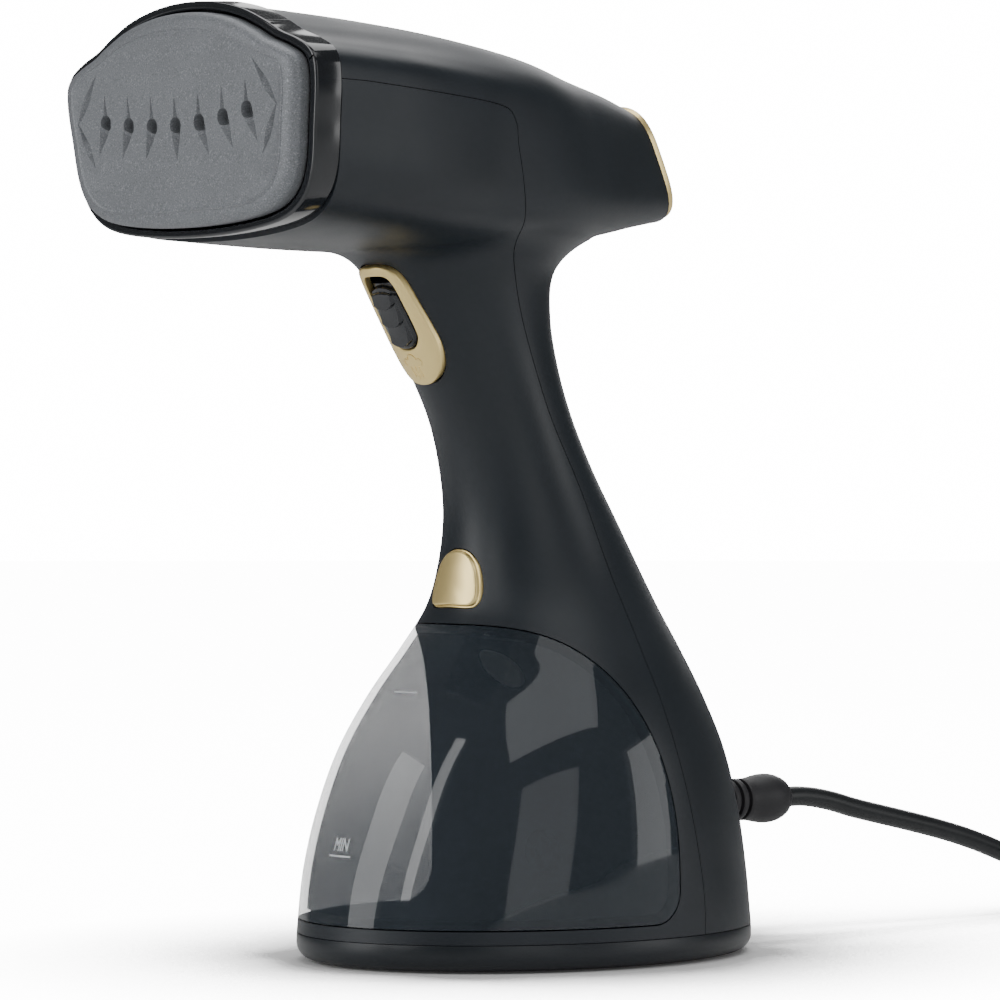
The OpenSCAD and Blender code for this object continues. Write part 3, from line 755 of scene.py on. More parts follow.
@dataclass
class BodyForm:
    """The outer form of the handle and base: elliptical sections up a curved line."""

    stations: Points = ((8, -73.5, 72, 57.5), (25, -71, 69.5, 57.5), (42, -66, 66, 56.5),
                        (60, -58.5, 61, 53), (76, -48.5, 54, 47), (90, -38, 47, 39.5),
                        (102, -30, 40.5, 33), (114, -27, 34.5, 28), (128, -26, 27, 24),
                        (142, -28, 19, 21.3), (157, -32.5, 11.5, 20), (172, -40.5, 6, 20.3),
                        (187, -50, 3, 21.5), (200, -58, 4, 24), (210, -68, 14, 29))
    low: float = 2.0
    high: float = 222.0
    crest: float = 218.0

    def __post_init__(self) -> None:
        """Works out a fine table of the sections."""
        self.table = spline(self.stations, np.linspace(0, len(self.stations) - 1, 900))

    def section(self, z: Array) -> tuple[Array, Array, Array]:
        """The middle, half depth and half width at heights."""
        front, rear, half = (np.interp(z, self.table[:, 0], self.table[:, k]) for k in (1, 2, 3))
        return (front + rear) / 2, (rear - front) / 2, half

    def distance(self, p: Array) -> Array:
        """How far points are outside the form, roughly."""
        mid, depth, half = self.section(p[:, 2])
        x, y = p[:, 0] / half, (p[:, 1] - mid) / depth
        r = np.sqrt(x * x + y * y) + 1e-9
        side = (r - 1) * r / np.sqrt((x / half) ** 2 + (y / depth) ** 2 + 1e-12)
        return np.maximum(side, p[:, 2] - self.crest)

    def solid(self, inset: float = 0, low: float | None = None, high: float | None = None,
              around: int = 144) -> bmesh.types.BMesh:
        """The closed form.

        Args:
            inset: How far inside the outer surface.
            low: Lower end.
            high: Upper end.
            around: Points round each section.

        Returns:
            The mesh.
        """
        low, high = low or self.low, high or self.high

        def put(u: Array, v: Array) -> Array:
            """Points for shares round and up the form."""
            z = low + v * (high - low)
            mid, depth, half = self.section(z)
            turn = 2 * math.pi * u
            return np.column_stack([(half - inset) * np.cos(turn),
                                    mid + (depth - inset) * np.sin(turn), z])

        return sheet_of(around, round((high - low) / 1.8), put)


@dataclass
class HeadForm:
    """The outer form of the head, from a rounded tail to the soleplate's outline."""

    stations: Points = ((37.33, 16.07, 216.64, 250.27, 1, 0.455),
                        (24.33, 21.4, 214.4, 254, 1, 0.43), (5, 29.8, 210.5, 257.5, 1, 0.34),
                        (-20, 39.8, 207, 262.5, 0.9, 0.2), (-50, 47, 205, 267.2, 0.6, 0.14),
                        (-80, 54, 204.8, 270, 0.25, 0.1), (-114, 58.6, 206, 271.6, 0, 0.07))
    power: float = 3.35
    reach: float = 4.0

    def __post_init__(self) -> None:
        """Works out fine tables of the sections and of the outline seen from its middle."""
        self.table = spline(self.stations, np.linspace(0, len(self.stations) - 1, 900))
        self.unit = np.column_stack([PLATE_EDGE[:, 0] / PLATE_REACH,
                                     (PLATE_EDGE[:, 1] - PLATE_FOOT) / PLATE_RISE - 1])
        turn = np.arctan2(self.unit[:, 1], self.unit[:, 0])
        order = np.argsort(turn)
        self.turn, self.radius = turn[order], np.linalg.norm(self.unit, axis=1)[order]

    def section(self, u: Array) -> tuple[Array, ...]:
        """Place, half width, middle, half height, roundness and lean at shares along the head."""
        at = np.clip(u, 0, 1) * (len(self.table) - 1)
        y0, half, low, high, rounded, lean = (np.interp(at, np.arange(len(self.table)), column)
                                              for column in self.table.T)
        return y0, half, (low + high) / 2, (high - low) / 2, rounded, lean

    def rim(self, turn: Array, rounded: Array) -> Array:
        """The outline's radius in a direction, for half sizes of 1."""
        sharp = np.interp(turn, self.turn, self.radius, period=2 * math.pi)
        soft = (np.abs(np.cos(turn)) ** self.power
                + np.abs(np.sin(turn)) ** self.power) ** (-1 / self.power)
        return sharp * (1 - rounded) + soft * rounded

    def distance(self, p: Array) -> Array:
        """How far points are outside the form, roughly."""
        places = self.table[::-1, 0]
        shares = np.linspace(1, 0, len(self.table))
        u = np.interp(p[:, 1], places, shares)
        for _ in range(4):
            _, half, mid, tall, rounded, lean = self.section(u)
            u = np.interp(p[:, 1] + lean * (p[:, 2] - mid), places, shares)
        _, half, mid, tall, rounded, lean = self.section(u)
        x, up = p[:, 0] / half, (p[:, 2] - mid) / tall
        r = np.sqrt(x * x + up * up) + 1e-9
        rim = self.rim(np.arctan2(up, x), rounded)
        return (r / rim - 1) * rim * r / np.sqrt((x / half) ** 2 + (up / tall) ** 2 + 1e-12)

    def solid(self, inset: float = 0, reach: float | None = None) -> bmesh.types.BMesh:
        """The closed form, a little longer than the head at both ends.

        Args:
            inset: How far inside the outer surface.
            reach: How much longer at each end.

        Returns:
            The mesh.
        """
        reach = self.reach if reach is None else reach
        first, last = self.table[0, 0], self.table[-1, 0]
        turns = np.arctan2(self.unit[:, 1], self.unit[:, 0])

        def put(u: Array, v: Array) -> Array:
            """Points for shares round and along the head."""
            y = first + reach + v * (last - first - 2 * reach)
            share = np.interp(-y, -self.table[:, 0], np.linspace(0, 1, len(self.table)))
            _, half, mid, tall, rounded, lean = self.section(share)
            k = np.rint(u * len(turns)).astype(int) % len(turns)
            r = self.rim(turns[k], rounded)
            up = r * np.sin(turns[k]) * (tall - inset)
            return np.column_stack([r * np.cos(turns[k]) * (half - inset), y - lean * up, mid + up])

        return sheet_of(len(turns), 80, put)


@dataclass
class TankArch:
    """The boundary of the tank in the side view: an arch over a small lower corner."""

    middle: tuple[float, float] = (-36, 22)
    half: tuple[float, float] = (45, 75.5)
    power: float = 2.4
    corner: float = 9.5

    def line(self, grow: float = 0, far: float = -120) -> list[tuple[float, float]]:
        """The boundary from its front foot to its front top, closed in front.

        Args:
            grow: How far outside the tank.
            far: Where it ends in front.

        Returns:
            Points in Y and Z.
        """
        y0, z0 = self.middle
        round_part = [(y0 + self.half[0] - self.corner + (self.corner + grow) * math.cos(a),
                       z0 + (self.corner + grow) * math.sin(a))
                      for a in np.linspace(-math.pi / 2, 0, 9)[:-1]]
        arch = [(y0 + (self.half[0] + grow) * math.cos(a) ** (2 / self.power),
                 z0 + (self.half[1] + grow) * math.sin(a) ** (2 / self.power))
                for a in np.linspace(0, math.pi / 2 - 1e-6, 40)]
        foot, top = z0 - self.corner - grow, z0 + self.half[1] + grow
        return [(far, foot), *round_part, *arch, (far, top)]


BODY = BodyForm()
HEAD = HeadForm()
ARCH = TankArch()
AT_TRIGGER = place(0, -48.9, 183.8, 122)
AT_RELEASE = place(0, -27.6, 110.8, 79)
AT_FILLER = place(0, -8, 86.3, -47.1)
AT_TAIL = place(0, 37.33, 233.455, -65.54)
AT_VALVE = place(0, 0, 30, -90)
BEZEL_EDGE = outline(((0, -19.6), (5, -18.7), (8.6, -15.2), (10.4, -9), (10.4, -2), (9.7, 7),
                      (8.9, 13.5), (7, 17.8), (3.8, 19.4), (0, 19.6)))
SLOT_EDGE = outline(((0, -7.7), (3.5, -7.1), (5.9, -4.6), (6.5, -1), (6.3, 8), (5.9, 13),
                     (4.4, 15.9), (0, 16.6)))
BUTTON_EDGE = outline(((0, -8.6), (6.5, -8.6), (9.5, -7.8), (10.6, -5.2), (10.1, -0.8),
                       (8.3, 4.2), (4.8, 7.6), (0, 8.6)))


def around_cylinder(radius: float) -> Callable[[Array], Array]:
    """A bend that lays a flat shape on a cylinder along Y, with its crown at height 0."""

    def bend(points: Array) -> Array:
        """Lowers points by their distance from the crown line."""
        drop = radius - np.sqrt(np.maximum(radius**2 - points[:, 0] ** 2, 1))
        return np.column_stack([points[:, 0], points[:, 1], points[:, 2] - drop])

    return bend


def end_plane(end: tuple[float, float, float], z: float) -> float:
    """The Y of the head's front or tail plane at a height."""
    return end[0] - end[1] * (z - end[2])


@dataclass
class Housings:
    """The two halves of the casing: handle front with the head's underside, and back with the head."""

    base_top: float = 8.35
    gap: float = 0.1
    voxel: float = 1.25
    blend: float = 6.0
    tank_gap: float = 0.45
    bulkhead: float = 2.0
    slab_top: float = 12.2
    trim: float = 0.02
    far: float = -118

    def skin(self, p: Array) -> Array:
        """How far points are outside the casing, with the head running into the handle."""
        body, head = BODY.distance(p), HEAD.distance(p)
        share = np.clip(0.5 + 0.5 * (head - body) / self.blend, 0, 1)
        return head * (1 - share) + body * share - self.blend * share * (1 - share)

    def outer(self) -> bpy.types.Object:
        """The solid outer form, with a fillet where the head meets the handle."""
        form = to_object(merged(BODY.solid(), HEAD.solid()), "outer_form")
        step = form.modifiers.new("remesh", "REMESH")
        step.mode, step.voxel_size = "VOXEL", self.voxel
        bake_modifiers(form)
        count = len(form.data.vertices)
        points = np.empty(count * 3)
        form.data.vertices.foreach_get("co", points)
        points = points.reshape(-1, 3)
        near = np.abs(self.skin(points)) < 2
        for _ in range(4):
            p = points[near]
            slope = np.column_stack([(self.skin(p + d) - self.skin(p - d)) / 0.1
                                     for d in np.eye(3) * 0.05])
            step_by = (self.skin(p) / np.maximum((slope**2).sum(1), 0.05))[:, None] * slope
            points[near] = p - np.clip(step_by, -1, 1)
        form.data.vertices.foreach_set("co", points.ravel())
        form.data.update()
        return form

    def side(self, rear: bool) -> list[tuple[float, float]]:
        """The side view of one half.

        Args:
            rear: Whether it is the rear half.

        Returns:
            Points in Y and Z.
        """
        front_plane = [(end_plane(FRONT_END, z) + self.trim, z) for z in (300.0, 190.0)]
        tail_plane = [(end_plane(TAIL_END, z) - self.trim, z) for z in (205.0, 300.0)]
        seam = [tuple(p) for p in SEAM if self.base_top < p[1]]
        level = self.base_top
        if rear:
            shifted = [(y + self.gap, z + self.gap) for y, z in seam if y > -113]
            edge = end_plane(FRONT_END, shifted[-1][1])
            return [(shifted[0][0], level), *shifted, (edge, shifted[-1][1]),
                    front_plane[0], tail_plane[1], tail_plane[0], (120, 190), (120, level)]
        inside = [(y - self.gap, z - self.gap) for y, z in seam if y > -113]
        edge = end_plane(FRONT_END, inside[-1][1])
        arch = ARCH.line(self.tank_gap, self.far)
        return [(inside[0][0], level), (self.far, level), *arch,
                (self.far, 190), front_plane[1], (edge, inside[-1][1]), *inside[::-1]]

    def cavity(self, rear: bool) -> list[tuple[float, float]]:
        """The side view of the hollow in one half, which runs out past its open sides."""
        if rear:
            return [(-140, 0), (150, 0), (150, 320), (-140, 320)]
        back = ARCH.line(self.tank_gap + self.bulkhead, self.far)[1:]
        return [(60, 0), (60, 320), (-140, 320), (-140, 150), (self.far, 150), *back[::-1],
                (14, self.slab_top), (14, 0)]

    def half(self, outer: bpy.types.Object, rear: bool) -> bpy.types.Object:
        """One hollow half of the casing.

        Args:
            outer: The solid outer form.
            rear: Whether it is the rear half.

        Returns:
            The half, without its openings.
        """
        name = "rear_casing" if rear else "front_casing"
        shell = outer.copy()
        shell.data = outer.data.copy()
        shell.name = name
        bpy.context.scene.collection.objects.link(shell)
        work(shell, side_prism(self.side(rear)), Cut.KEEP)
        hollow = to_object(BODY.solid(WALL, 4, 216), "hollow")
        work(hollow, HEAD.solid(WALL, 8), Cut.JOIN)
        work(hollow, side_prism(self.cavity(rear), 80), Cut.KEEP)
        return work(shell, to_tool(hollow), Cut.TAKE)

    def build(self) -> None:
        """Makes and dresses both halves."""
        outer = self.outer()
        front, rear = self.half(outer, False), self.half(outer, True)
        bpy.data.objects.remove(outer)
        work(front, prism(BEZEL_EDGE * 1.025, -9, 12, AT_TRIGGER), Cut.TAKE)
        work(front, prism(BUTTON_EDGE * 1.035, -9, 12, AT_RELEASE), Cut.TAKE)
        work(front, round_bar(9, 0, 20, AT_VALVE), Cut.TAKE)
        work(front, round_bar(12.5, -4, 12, AT_FILLER), Cut.TAKE)
        work(front, block((12, 13, 11), place(0, -21.5, 95.5)), Cut.TAKE)
        work(rear, round_bar(6.7, 50, 80, place(0, 0, 42, -90)), Cut.TAKE)
        finish_piece(front, HOUSING, "housing", ["front_housing"])
        finish_piece(rear, HOUSING, "housing", ["rear_housing"])


# ---------------------------------------------------------------- studio
@dataclass
class Studio:
    """Camera, pale floor, white surroundings and soft lights."""

    eye: tuple[float, float, float] = (1.0683, -0.8964, 0.1336)
    heading: float = 50.34
    lens: float = 170.4
    white: float = 16.0
    around: float = 0.13
    bench_glow: float = 14.0
    # How far the painted contact shadow on the bench reaches from the object.
    contact: float = 0.12
    lamps: tuple[tuple, ...] = (
        ("overhead", (-0.25, 0.2, 1.35), (0, -0.03, 0.2), (1.3, 0.9), 10),
        ("left_front", (-0.55, -1.3, 0.55), (0, 0, 0.15), (0.6, 1.1), 8),
        ("high_front", (0.92, -0.18, 1.3), (0, 0, 0.08), (1.25, 0.65), 5),
        ("front_panel", (1.33, -0.33, 0.36), (0, 0, 0.08), (0.7, 0.8), 2),
        ("front_strip", (0.17, -1.23, 0.73), (0, 0, 0.06), (0.16, 1.1), 3),
        ("right_back", (1.17, 0.97, 0.36), (0, 0, 0.17), (0.5, 0.8), 3.5),
        ("rear", (-1.0, 1.2, 0.8), (0, 0, 0.15), (0.9, 1.0), 6))

    def camera(self) -> None:
        """Places the camera."""
        data = bpy.data.cameras.new("camera")
        data.lens, data.sensor_width = self.lens, 36.0
        data.clip_start, data.clip_end = 0.05, 50.0
        made = add_object("camera", data)
        made.location = self.eye
        made.rotation_euler = (math.radians(90), 0, math.radians(self.heading))
        bpy.context.scene.camera = made

    def world(self) -> None:
        """White where the camera sees past the floor, and a dim even light elsewhere."""
        world = bpy.data.worlds.new("surroundings")
        world.use_nodes = True
        nodes, links = world.node_tree.nodes, world.node_tree.links
        nodes.clear()
        out = nodes.new("ShaderNodeOutputWorld")
        mix = nodes.new("ShaderNodeMixShader")
        path = nodes.new("ShaderNodeLightPath")
        links.new(path.outputs["Is Camera Ray"], mix.inputs[0])
        for slot, level in ((1, self.around), (2, self.white)):
            light = nodes.new("ShaderNodeBackground")
            light.inputs["Color"].default_value = grey(1.0)
            light.inputs["Strength"].default_value = level
            links.new(light.outputs[0], mix.inputs[slot])
        links.new(mix.outputs[0], out.inputs["Surface"])
        bpy.context.scene.world = world

    def floor(self) -> None:
        """A wide pale bench top. It is seen bright, and throws little light back up. Its glow is
        darkened by ambient occlusion near the object: a painted contact shadow.
        """
        bm = bmesh.new()
        bmesh.ops.create_circle(bm, cap_ends=True, radius=9.0, segments=96)
        top = to_object(bm, "bench")
        shader = Shader("bench_white")
        cloud = shader.noise(900, detail=1.0)
        shader.set(Base_Color=shader.tint(cloud, grey(0.78), grey(0.8)), Roughness=0.8)
        glow = shader.nodes.new("ShaderNodeEmission")
        glow.inputs["Strength"].default_value = self.bench_glow
        # Painted contact shadow: the bench's glow fades to near black where ambient occlusion finds the
        # object close by.
        near = shader.node("ShaderNodeAmbientOcclusion", {"samples": 8}, output="AO",
                           Distance=self.contact)
        clear = near.step(0.45, 0.97)
        for _ in range(4):
            clear = clear * clear
        shader.feed(glow.inputs["Color"], shader.tint(clear, grey(0.002), grey(1.0)))
        both = shader.nodes.new("ShaderNodeAddShader")
        mix = shader.nodes.new("ShaderNodeMixShader")
        shader.links.new(shader.main.outputs[0], both.inputs[0])
        shader.links.new(glow.outputs[0], both.inputs[1])
        seen = shader.node("ShaderNodeLightPath", output="Is Camera Ray")
        shader.feed(mix.inputs[0], seen)
        shader.links.new(shader.main.outputs[0], mix.inputs[1])
        shader.links.new(both.outputs[0], mix.inputs[2])
        shader.links.new(mix.outputs[0], shader.out.inputs["Surface"])
        top.data.materials.append(shader.material)

    def lamp(self, name: str, at: Sequence[float], aim: Sequence[float],
             size: tuple[float, float], watts: float) -> None:
        """A rectangular soft light.

        Args:
            name: Its name.
            at: Its middle.
            aim: What it faces.
            size: Its width and height.
            watts: Its power.
        """
        data = bpy.data.lights.new(name, "AREA")
        data.shape, data.size, data.size_y, data.energy = "RECTANGLE", size[0], size[1], watts
        made = add_object(name, data)
        made.location = at
        made.rotation_euler = (Vector(aim) - Vector(at)).to_track_quat("-Z", "Y").to_euler()

    def build(self) -> None:
        """Sets up the whole studio."""
        self.camera()
        self.world()
        self.floor()
        for lamp in self.lamps:
            self.lamp(*lamp)


# ---------------------------------------------------------------- cord
@dataclass
class CordSet:
    """The mains cord from its strain relief to its plug, with its spare length wound and tied."""

    diameter: float = 6.2
    turns: int = 3
    middle: tuple[float, float] = (46.6, 270)
    wide: float = 46.6
    tight: float = 28.0
    low: float = 4.1
    high: float = 10.3
    exit_at: tuple[float, float, float] = (0, 103, 42)
    fall: Points = ((0, 95, 42), (0, 103, 42), (0, 110, 42), (0, 121, 40.4), (0, 133, 37.4),
                    (0, 145, 34.8), (0, 158, 32), (0, 171, 29), (0, 184, 25.5),
                    (0, 197, 21.2), (0, 210, 16.4), (0, 223, 11.7), (0, 236, 7.8),
                    (0, 248, 5.2), (0, 260, 4.2))
    tail: Points = ((93.2, 262, 10), (93.2, 254, 8.9), (93.2, 246, 8.2), (93.2, 236, 7.8),
                    (93.2, 226, 7.6), (93.2, 219, 7.6))
    plug_at: tuple[float, float, float] = (93.2, 222, 0.2)
    plug_half: Points = ((0, -36), (8, -36), (14, -35), (17, -31), (17.5, -24), (16, -15),
                         (11, -7), (6, -2), (0, 0))
    per_turn: int = 24
    pin_half: float = 9.5
    route: list[tuple[float, float, float]] = field(default_factory=list)

    def coil(self) -> list[tuple[float, float, float]]:
        """Inwards turn by turn on the bench, then outwards again on top."""
        steps = self.turns * self.per_turn
        points = []
        for k in range(steps + 1):
            share = k / steps
            points.append((180 - 360 * k / self.per_turn,
                           self.wide + (self.tight - self.wide) * share, self.low))
        half = self.per_turn // 2
        for k in range(1, half):
            share = k / half
            rise = share * share * (3 - 2 * share)
            points.append((180 - 360 * k / self.per_turn,
                           self.tight - 1.2 * math.sin(math.pi * share),
                           self.low + (self.high - self.low) * rise))
        for k in range(steps + 1):
            share = k / steps
            points.append((-360 * k / self.per_turn,
                           self.tight + (self.wide - self.tight) * share, self.high))
        x0, y0 = self.middle
        return [(x0 + r * math.cos(math.radians(a)), y0 + r * math.sin(math.radians(a)), z)
                for a, r, z in points]

    def cord(self) -> bpy.types.Object:
        """The cord itself, one smooth curve."""
        self.route = [*self.fall, *self.coil(), *self.tail]
        made = tube("mains_cord", [Vector(point) * MM for point in self.route],
                    self.diameter / 2 * MM, fine=5, sides=5)
        made.data.materials.append(CORD_SHEATH.material())
        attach(made, "housing")
        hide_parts("power_cord", "cord_coil", "plug_lead")
        return made

    def length(self) -> float:
        """The route's length in metres, along its smooth curve."""
        fine = spline(self.route, np.linspace(0, len(self.route) - 1, 6000))
        return float(np.linalg.norm(np.diff(fine, axis=0), axis=1).sum()) * MM

    def relief(self) -> bpy.types.Object:
        """The bell-shaped sleeve, ribbed next to the housing."""
        profile = [(0, 56), (4.6, 56), (4.9, 56.3), (4.9, 58.1), (8.7, 58.1), (9, 58.4), (9, 60.3),
                   (8.7, 60.6), (6.1, 60.7), (6.1, 70.5), (6.45, 71.2), (6.45, 72.6)]
        y = 72.9
        for _ in range(4):
            profile += [(6.3, y), (5.3, y + 0.25), (5.3, y + 1.15), (6.3, y + 1.4), (6.45, y + 1.7)]
            y += 3.3
            profile += [(6.45, y - 0.25)]
        profile += [(6.5, 86.6), (6.8, 88.4), (7.2, 90.4), (7.5, 92.4), (7.6, 94.2), (7.5, 96),
                    (7.15, 97.8), (6.6, 99.4), (5.9, 100.8), (5, 101.9), (4.2, 102.5),
                    (3.6, 102.8), (3.3, 102.9), (0, 102.9)]
        sleeve = to_object(turned(profile, place(0, 0, 42, -90)), "cord_sleeve")
        return finish_piece(sleeve, TRIM_BLACK, "housing", ["strain_relief"])

    def plug(self) -> bpy.types.Object:
        """The moulded plug, with a rim, finger grips and sockets for its pins."""
        loop = outline(self.plug_half)
        profile = [(40, 0.2), (1.6, 0.2), (0.5, 0.7), (0, 1.8), (0, 6.6), (0.35, 7), (0.35, 7.6),
                   (0, 8), (0, 12.6), (0.5, 14), (1.7, 14.8), (3.2, 15), (4.4, 14.6), (40, 14.6)]
        profile = [(a, b - 0.2) for a, b in profile]
        body = to_object(plug_of(loop, profile, place(*self.plug_at), around=144), "plug")
        grips = [block((3.4, 1.5, 30), place(s * 17.6, -27 + 3.1 * k, 7.4), 0.5)
                 for s in (-1, 1) for k in range(5)]
        holes = [round_bar(2.4, 0, 10, place(s * self.pin_half, -30, 7.4, 90)) for s in (-1, 1)]
        for tool in grips + holes:
            bmesh.ops.translate(tool, verts=tool.verts, vec=self.plug_at)
            work(body, tool, Cut.TAKE)
        return finish_piece(body, CORD_SHEATH, "housing", ["plug_body"])

    def pins(self) -> bpy.types.Object:
        """Two round pins with rounded ends."""
        tip = [(2.35 * math.cos(a), 22.9 + 2.35 * math.sin(a)) for a in np.linspace(0, 1.57, 7)]
        profile = [(0, 0), (2.35, 0), (2.35, 12), (2.2, 12.2), (2.2, 12.6), (2.35, 12.8), *tip[:-1],
                   (0, 25.25)]
        x, y, _ = self.plug_at
        shapes = [turned(profile, place(x + s * self.pin_half, y - 30.1, 7.6, 90), 40) for s in (-1, 1)]
        return finish_piece(to_object(merged(*shapes), "pins"), NICKEL, "housing",
                            ["plug_pins"])

    def tie(self) -> bpy.types.Object:
        """The strap round the coil, with its buckle."""
        inner, outer = self.tight - 3.1, self.wide + 3.1
        mid, span = (inner + outer) / 2, outer - inner
        at = (Matrix.Translation((*self.middle, 7.2)) @ Matrix.Rotation(math.radians(60), 4, "Z")
              @ Matrix.Translation((mid, 0, 0)) @ Matrix.Rotation(math.radians(90), 4, "X"))
        outside = superellipse(span / 2 + 1.35, 7.05, 9, 120)
        inside = superellipse(span / 2 + 0.35, 6.35, 12, 120)
        strap = band_of(outside, inside, -3.9, 3.9, 0.15, at, around=120)
        buckle = block((3.4, 1.0, 6.6), at @ Matrix.Translation((-6, 7.1, 0)), 0.3)
        made = to_object(merged(strap, buckle), "coil_strap")
        return finish_piece(made, RUBBER, "housing", ["coil_tie"])

    def build(self) -> None:
        cord = self.cord()
        extras = [self.plug(), self.pins(), self.tie(), self.relief()]


# ---------------------------------------------------------------- tank
@dataclass
class Tank:
    """The removable smoked water tank, with its marks and its filler cap."""

    wall: float = 2.5
    step: float = 0.35
    rim: float = 1.5
    mark_rise: float = 0.12
    mark_x: float = -1.4
    mark_z: float = 33.4

    def hull(self, inset: float, grow: float) -> bpy.types.Object:
        """The part of the body's form that the tank takes, moved in by some amounts."""
        form = to_object(BODY.solid(inset, 4, 110, around=200), "tank_shell")
        return work(form, side_prism(ARCH.line(grow), 80), Cut.KEEP)

    def shell(self) -> None:
        """The tank's clear shell."""
        tank = self.hull(0.0, 0.0)
        rib = block((10, 4, 6.8), place(0, -18, 93.4), 0.4)
        work(tank, rib, Cut.JOIN)
        work(tank, to_tool(self.hull(self.wall, -self.wall)), Cut.TAKE)
        work(tank, round_bar(6.2, -6, 14, AT_VALVE), Cut.TAKE)
        work(tank, round_bar(8.05, -8, 4, AT_FILLER), Cut.TAKE)
        finish_piece(tank, SMOKE, "tank", ["water_tank"])

    def on_front(self, x: Array, z: Array, lift: float) -> Array:
        """Points on the tank's outer surface, from how far across and how high they are."""
        mid, depth, half = BODY.section(z)
        turn = np.arccos(np.clip(x / half, -1, 1))
        return np.column_stack([(half + lift) * np.cos(turn), mid - (depth + lift) * np.sin(turn), z])

    def raised(self, name: str, mesh: bpy.types.Mesh) -> None:
        """Lays flat lettering, in X and Z, on the front surface and gives it a thickness."""
        bm = bmesh.new()
        bm.from_mesh(mesh)
        bmesh.ops.triangulate(bm, faces=bm.faces)
        low = list(bm.verts)
        high = thickened(bm, bm.faces[:])
        for verts, lift in ((low, -0.06), (high, self.mark_rise)):
            flat = np.array([v.co for v in verts])
            for vert, point in zip(verts, self.on_front(flat[:, 0], flat[:, 2], lift)):
                vert.co = point
        bmesh.ops.recalc_face_normals(bm, faces=bm.faces)
        finish_piece(to_object(bm, name), MARKING, "tank")

    def bar(self, name: str, x: tuple[float, float], z: float, thick: float) -> None:
        """A thin level line on the front surface."""
        bm = bmesh.new()
        bmesh.ops.create_grid(bm, x_segments=40, y_segments=1, size=0.5)
        mid = Matrix.Translation(((x[0] + x[1]) / 2, 0, z))
        lay = Matrix.Rotation(math.radians(90), 4, "X") @ Matrix.Diagonal((x[1] - x[0], thick, 1, 1))
        bmesh.ops.transform(bm, matrix=mid @ lay, verts=bm.verts)
        mesh = bpy.data.meshes.new(name)
        bm.to_mesh(mesh)
        bm.free()
        self.raised(name, mesh)
        bpy.data.meshes.remove(mesh)

    def lettering(self) -> None:
        """The mark of the lowest level."""
        data = bpy.data.curves.new("min_text", "FONT")
        data.body, data.size, data.align_x, data.resolution_u = "MIN", 5.2, "CENTER", 4
        data.fill_mode = "BOTH"
        text = add_object("min_text", data)
        mesh = evaluated(text)
        mesh.transform(Matrix.Translation((self.mark_x, 0, self.mark_z))
                       @ Matrix.Rotation(math.radians(90), 4, "X")
                       @ Matrix.Diagonal((0.72, 1, 1, 1)))
        bpy.data.objects.remove(text)
        self.raised("minimum_mark", mesh)
        bpy.data.meshes.remove(mesh)

    def marks(self) -> None:
        """The level marks on the front."""
        self.lettering()
        self.bar("minimum_line", (-6.2, 3.5), 31.9, 0.4)
        self.bar("upper_line", (-4.5, 5.6), 78.2, 0.2)

    def cap(self) -> None:
        """The filler's soft plug with its pull tab."""
        profile = [(0, -3.5), (7.2, -3.5), (7.7, -3.1), (7.85, -2.6), (7.6, -2.2), (7.85, -1.8),
                   (7.85, 0.28), (10, 0.3), (10.4, 0.7), (10.4, 1.9), (10, 2.45), (9.2, 2.6),
                   (8.6, 2.6), (8.2, 2.2), (7.4, 2.2), (7, 2.55), (0, 2.6)]
        cap = to_object(turned(profile, AT_FILLER), "filler_plug")
        tab = block((4, 4.4, 1.9), AT_FILLER @ Matrix.Translation((0, 9.9, 1.3)), 0.5)
        work(cap, tab, Cut.JOIN)
        finish_piece(cap, SILICONE, "filler", ["filler_cap"])

    def build(self) -> None:
        """Makes everything that lifts off with the tank."""
        self.shell()
        self.marks()
        self.cap()


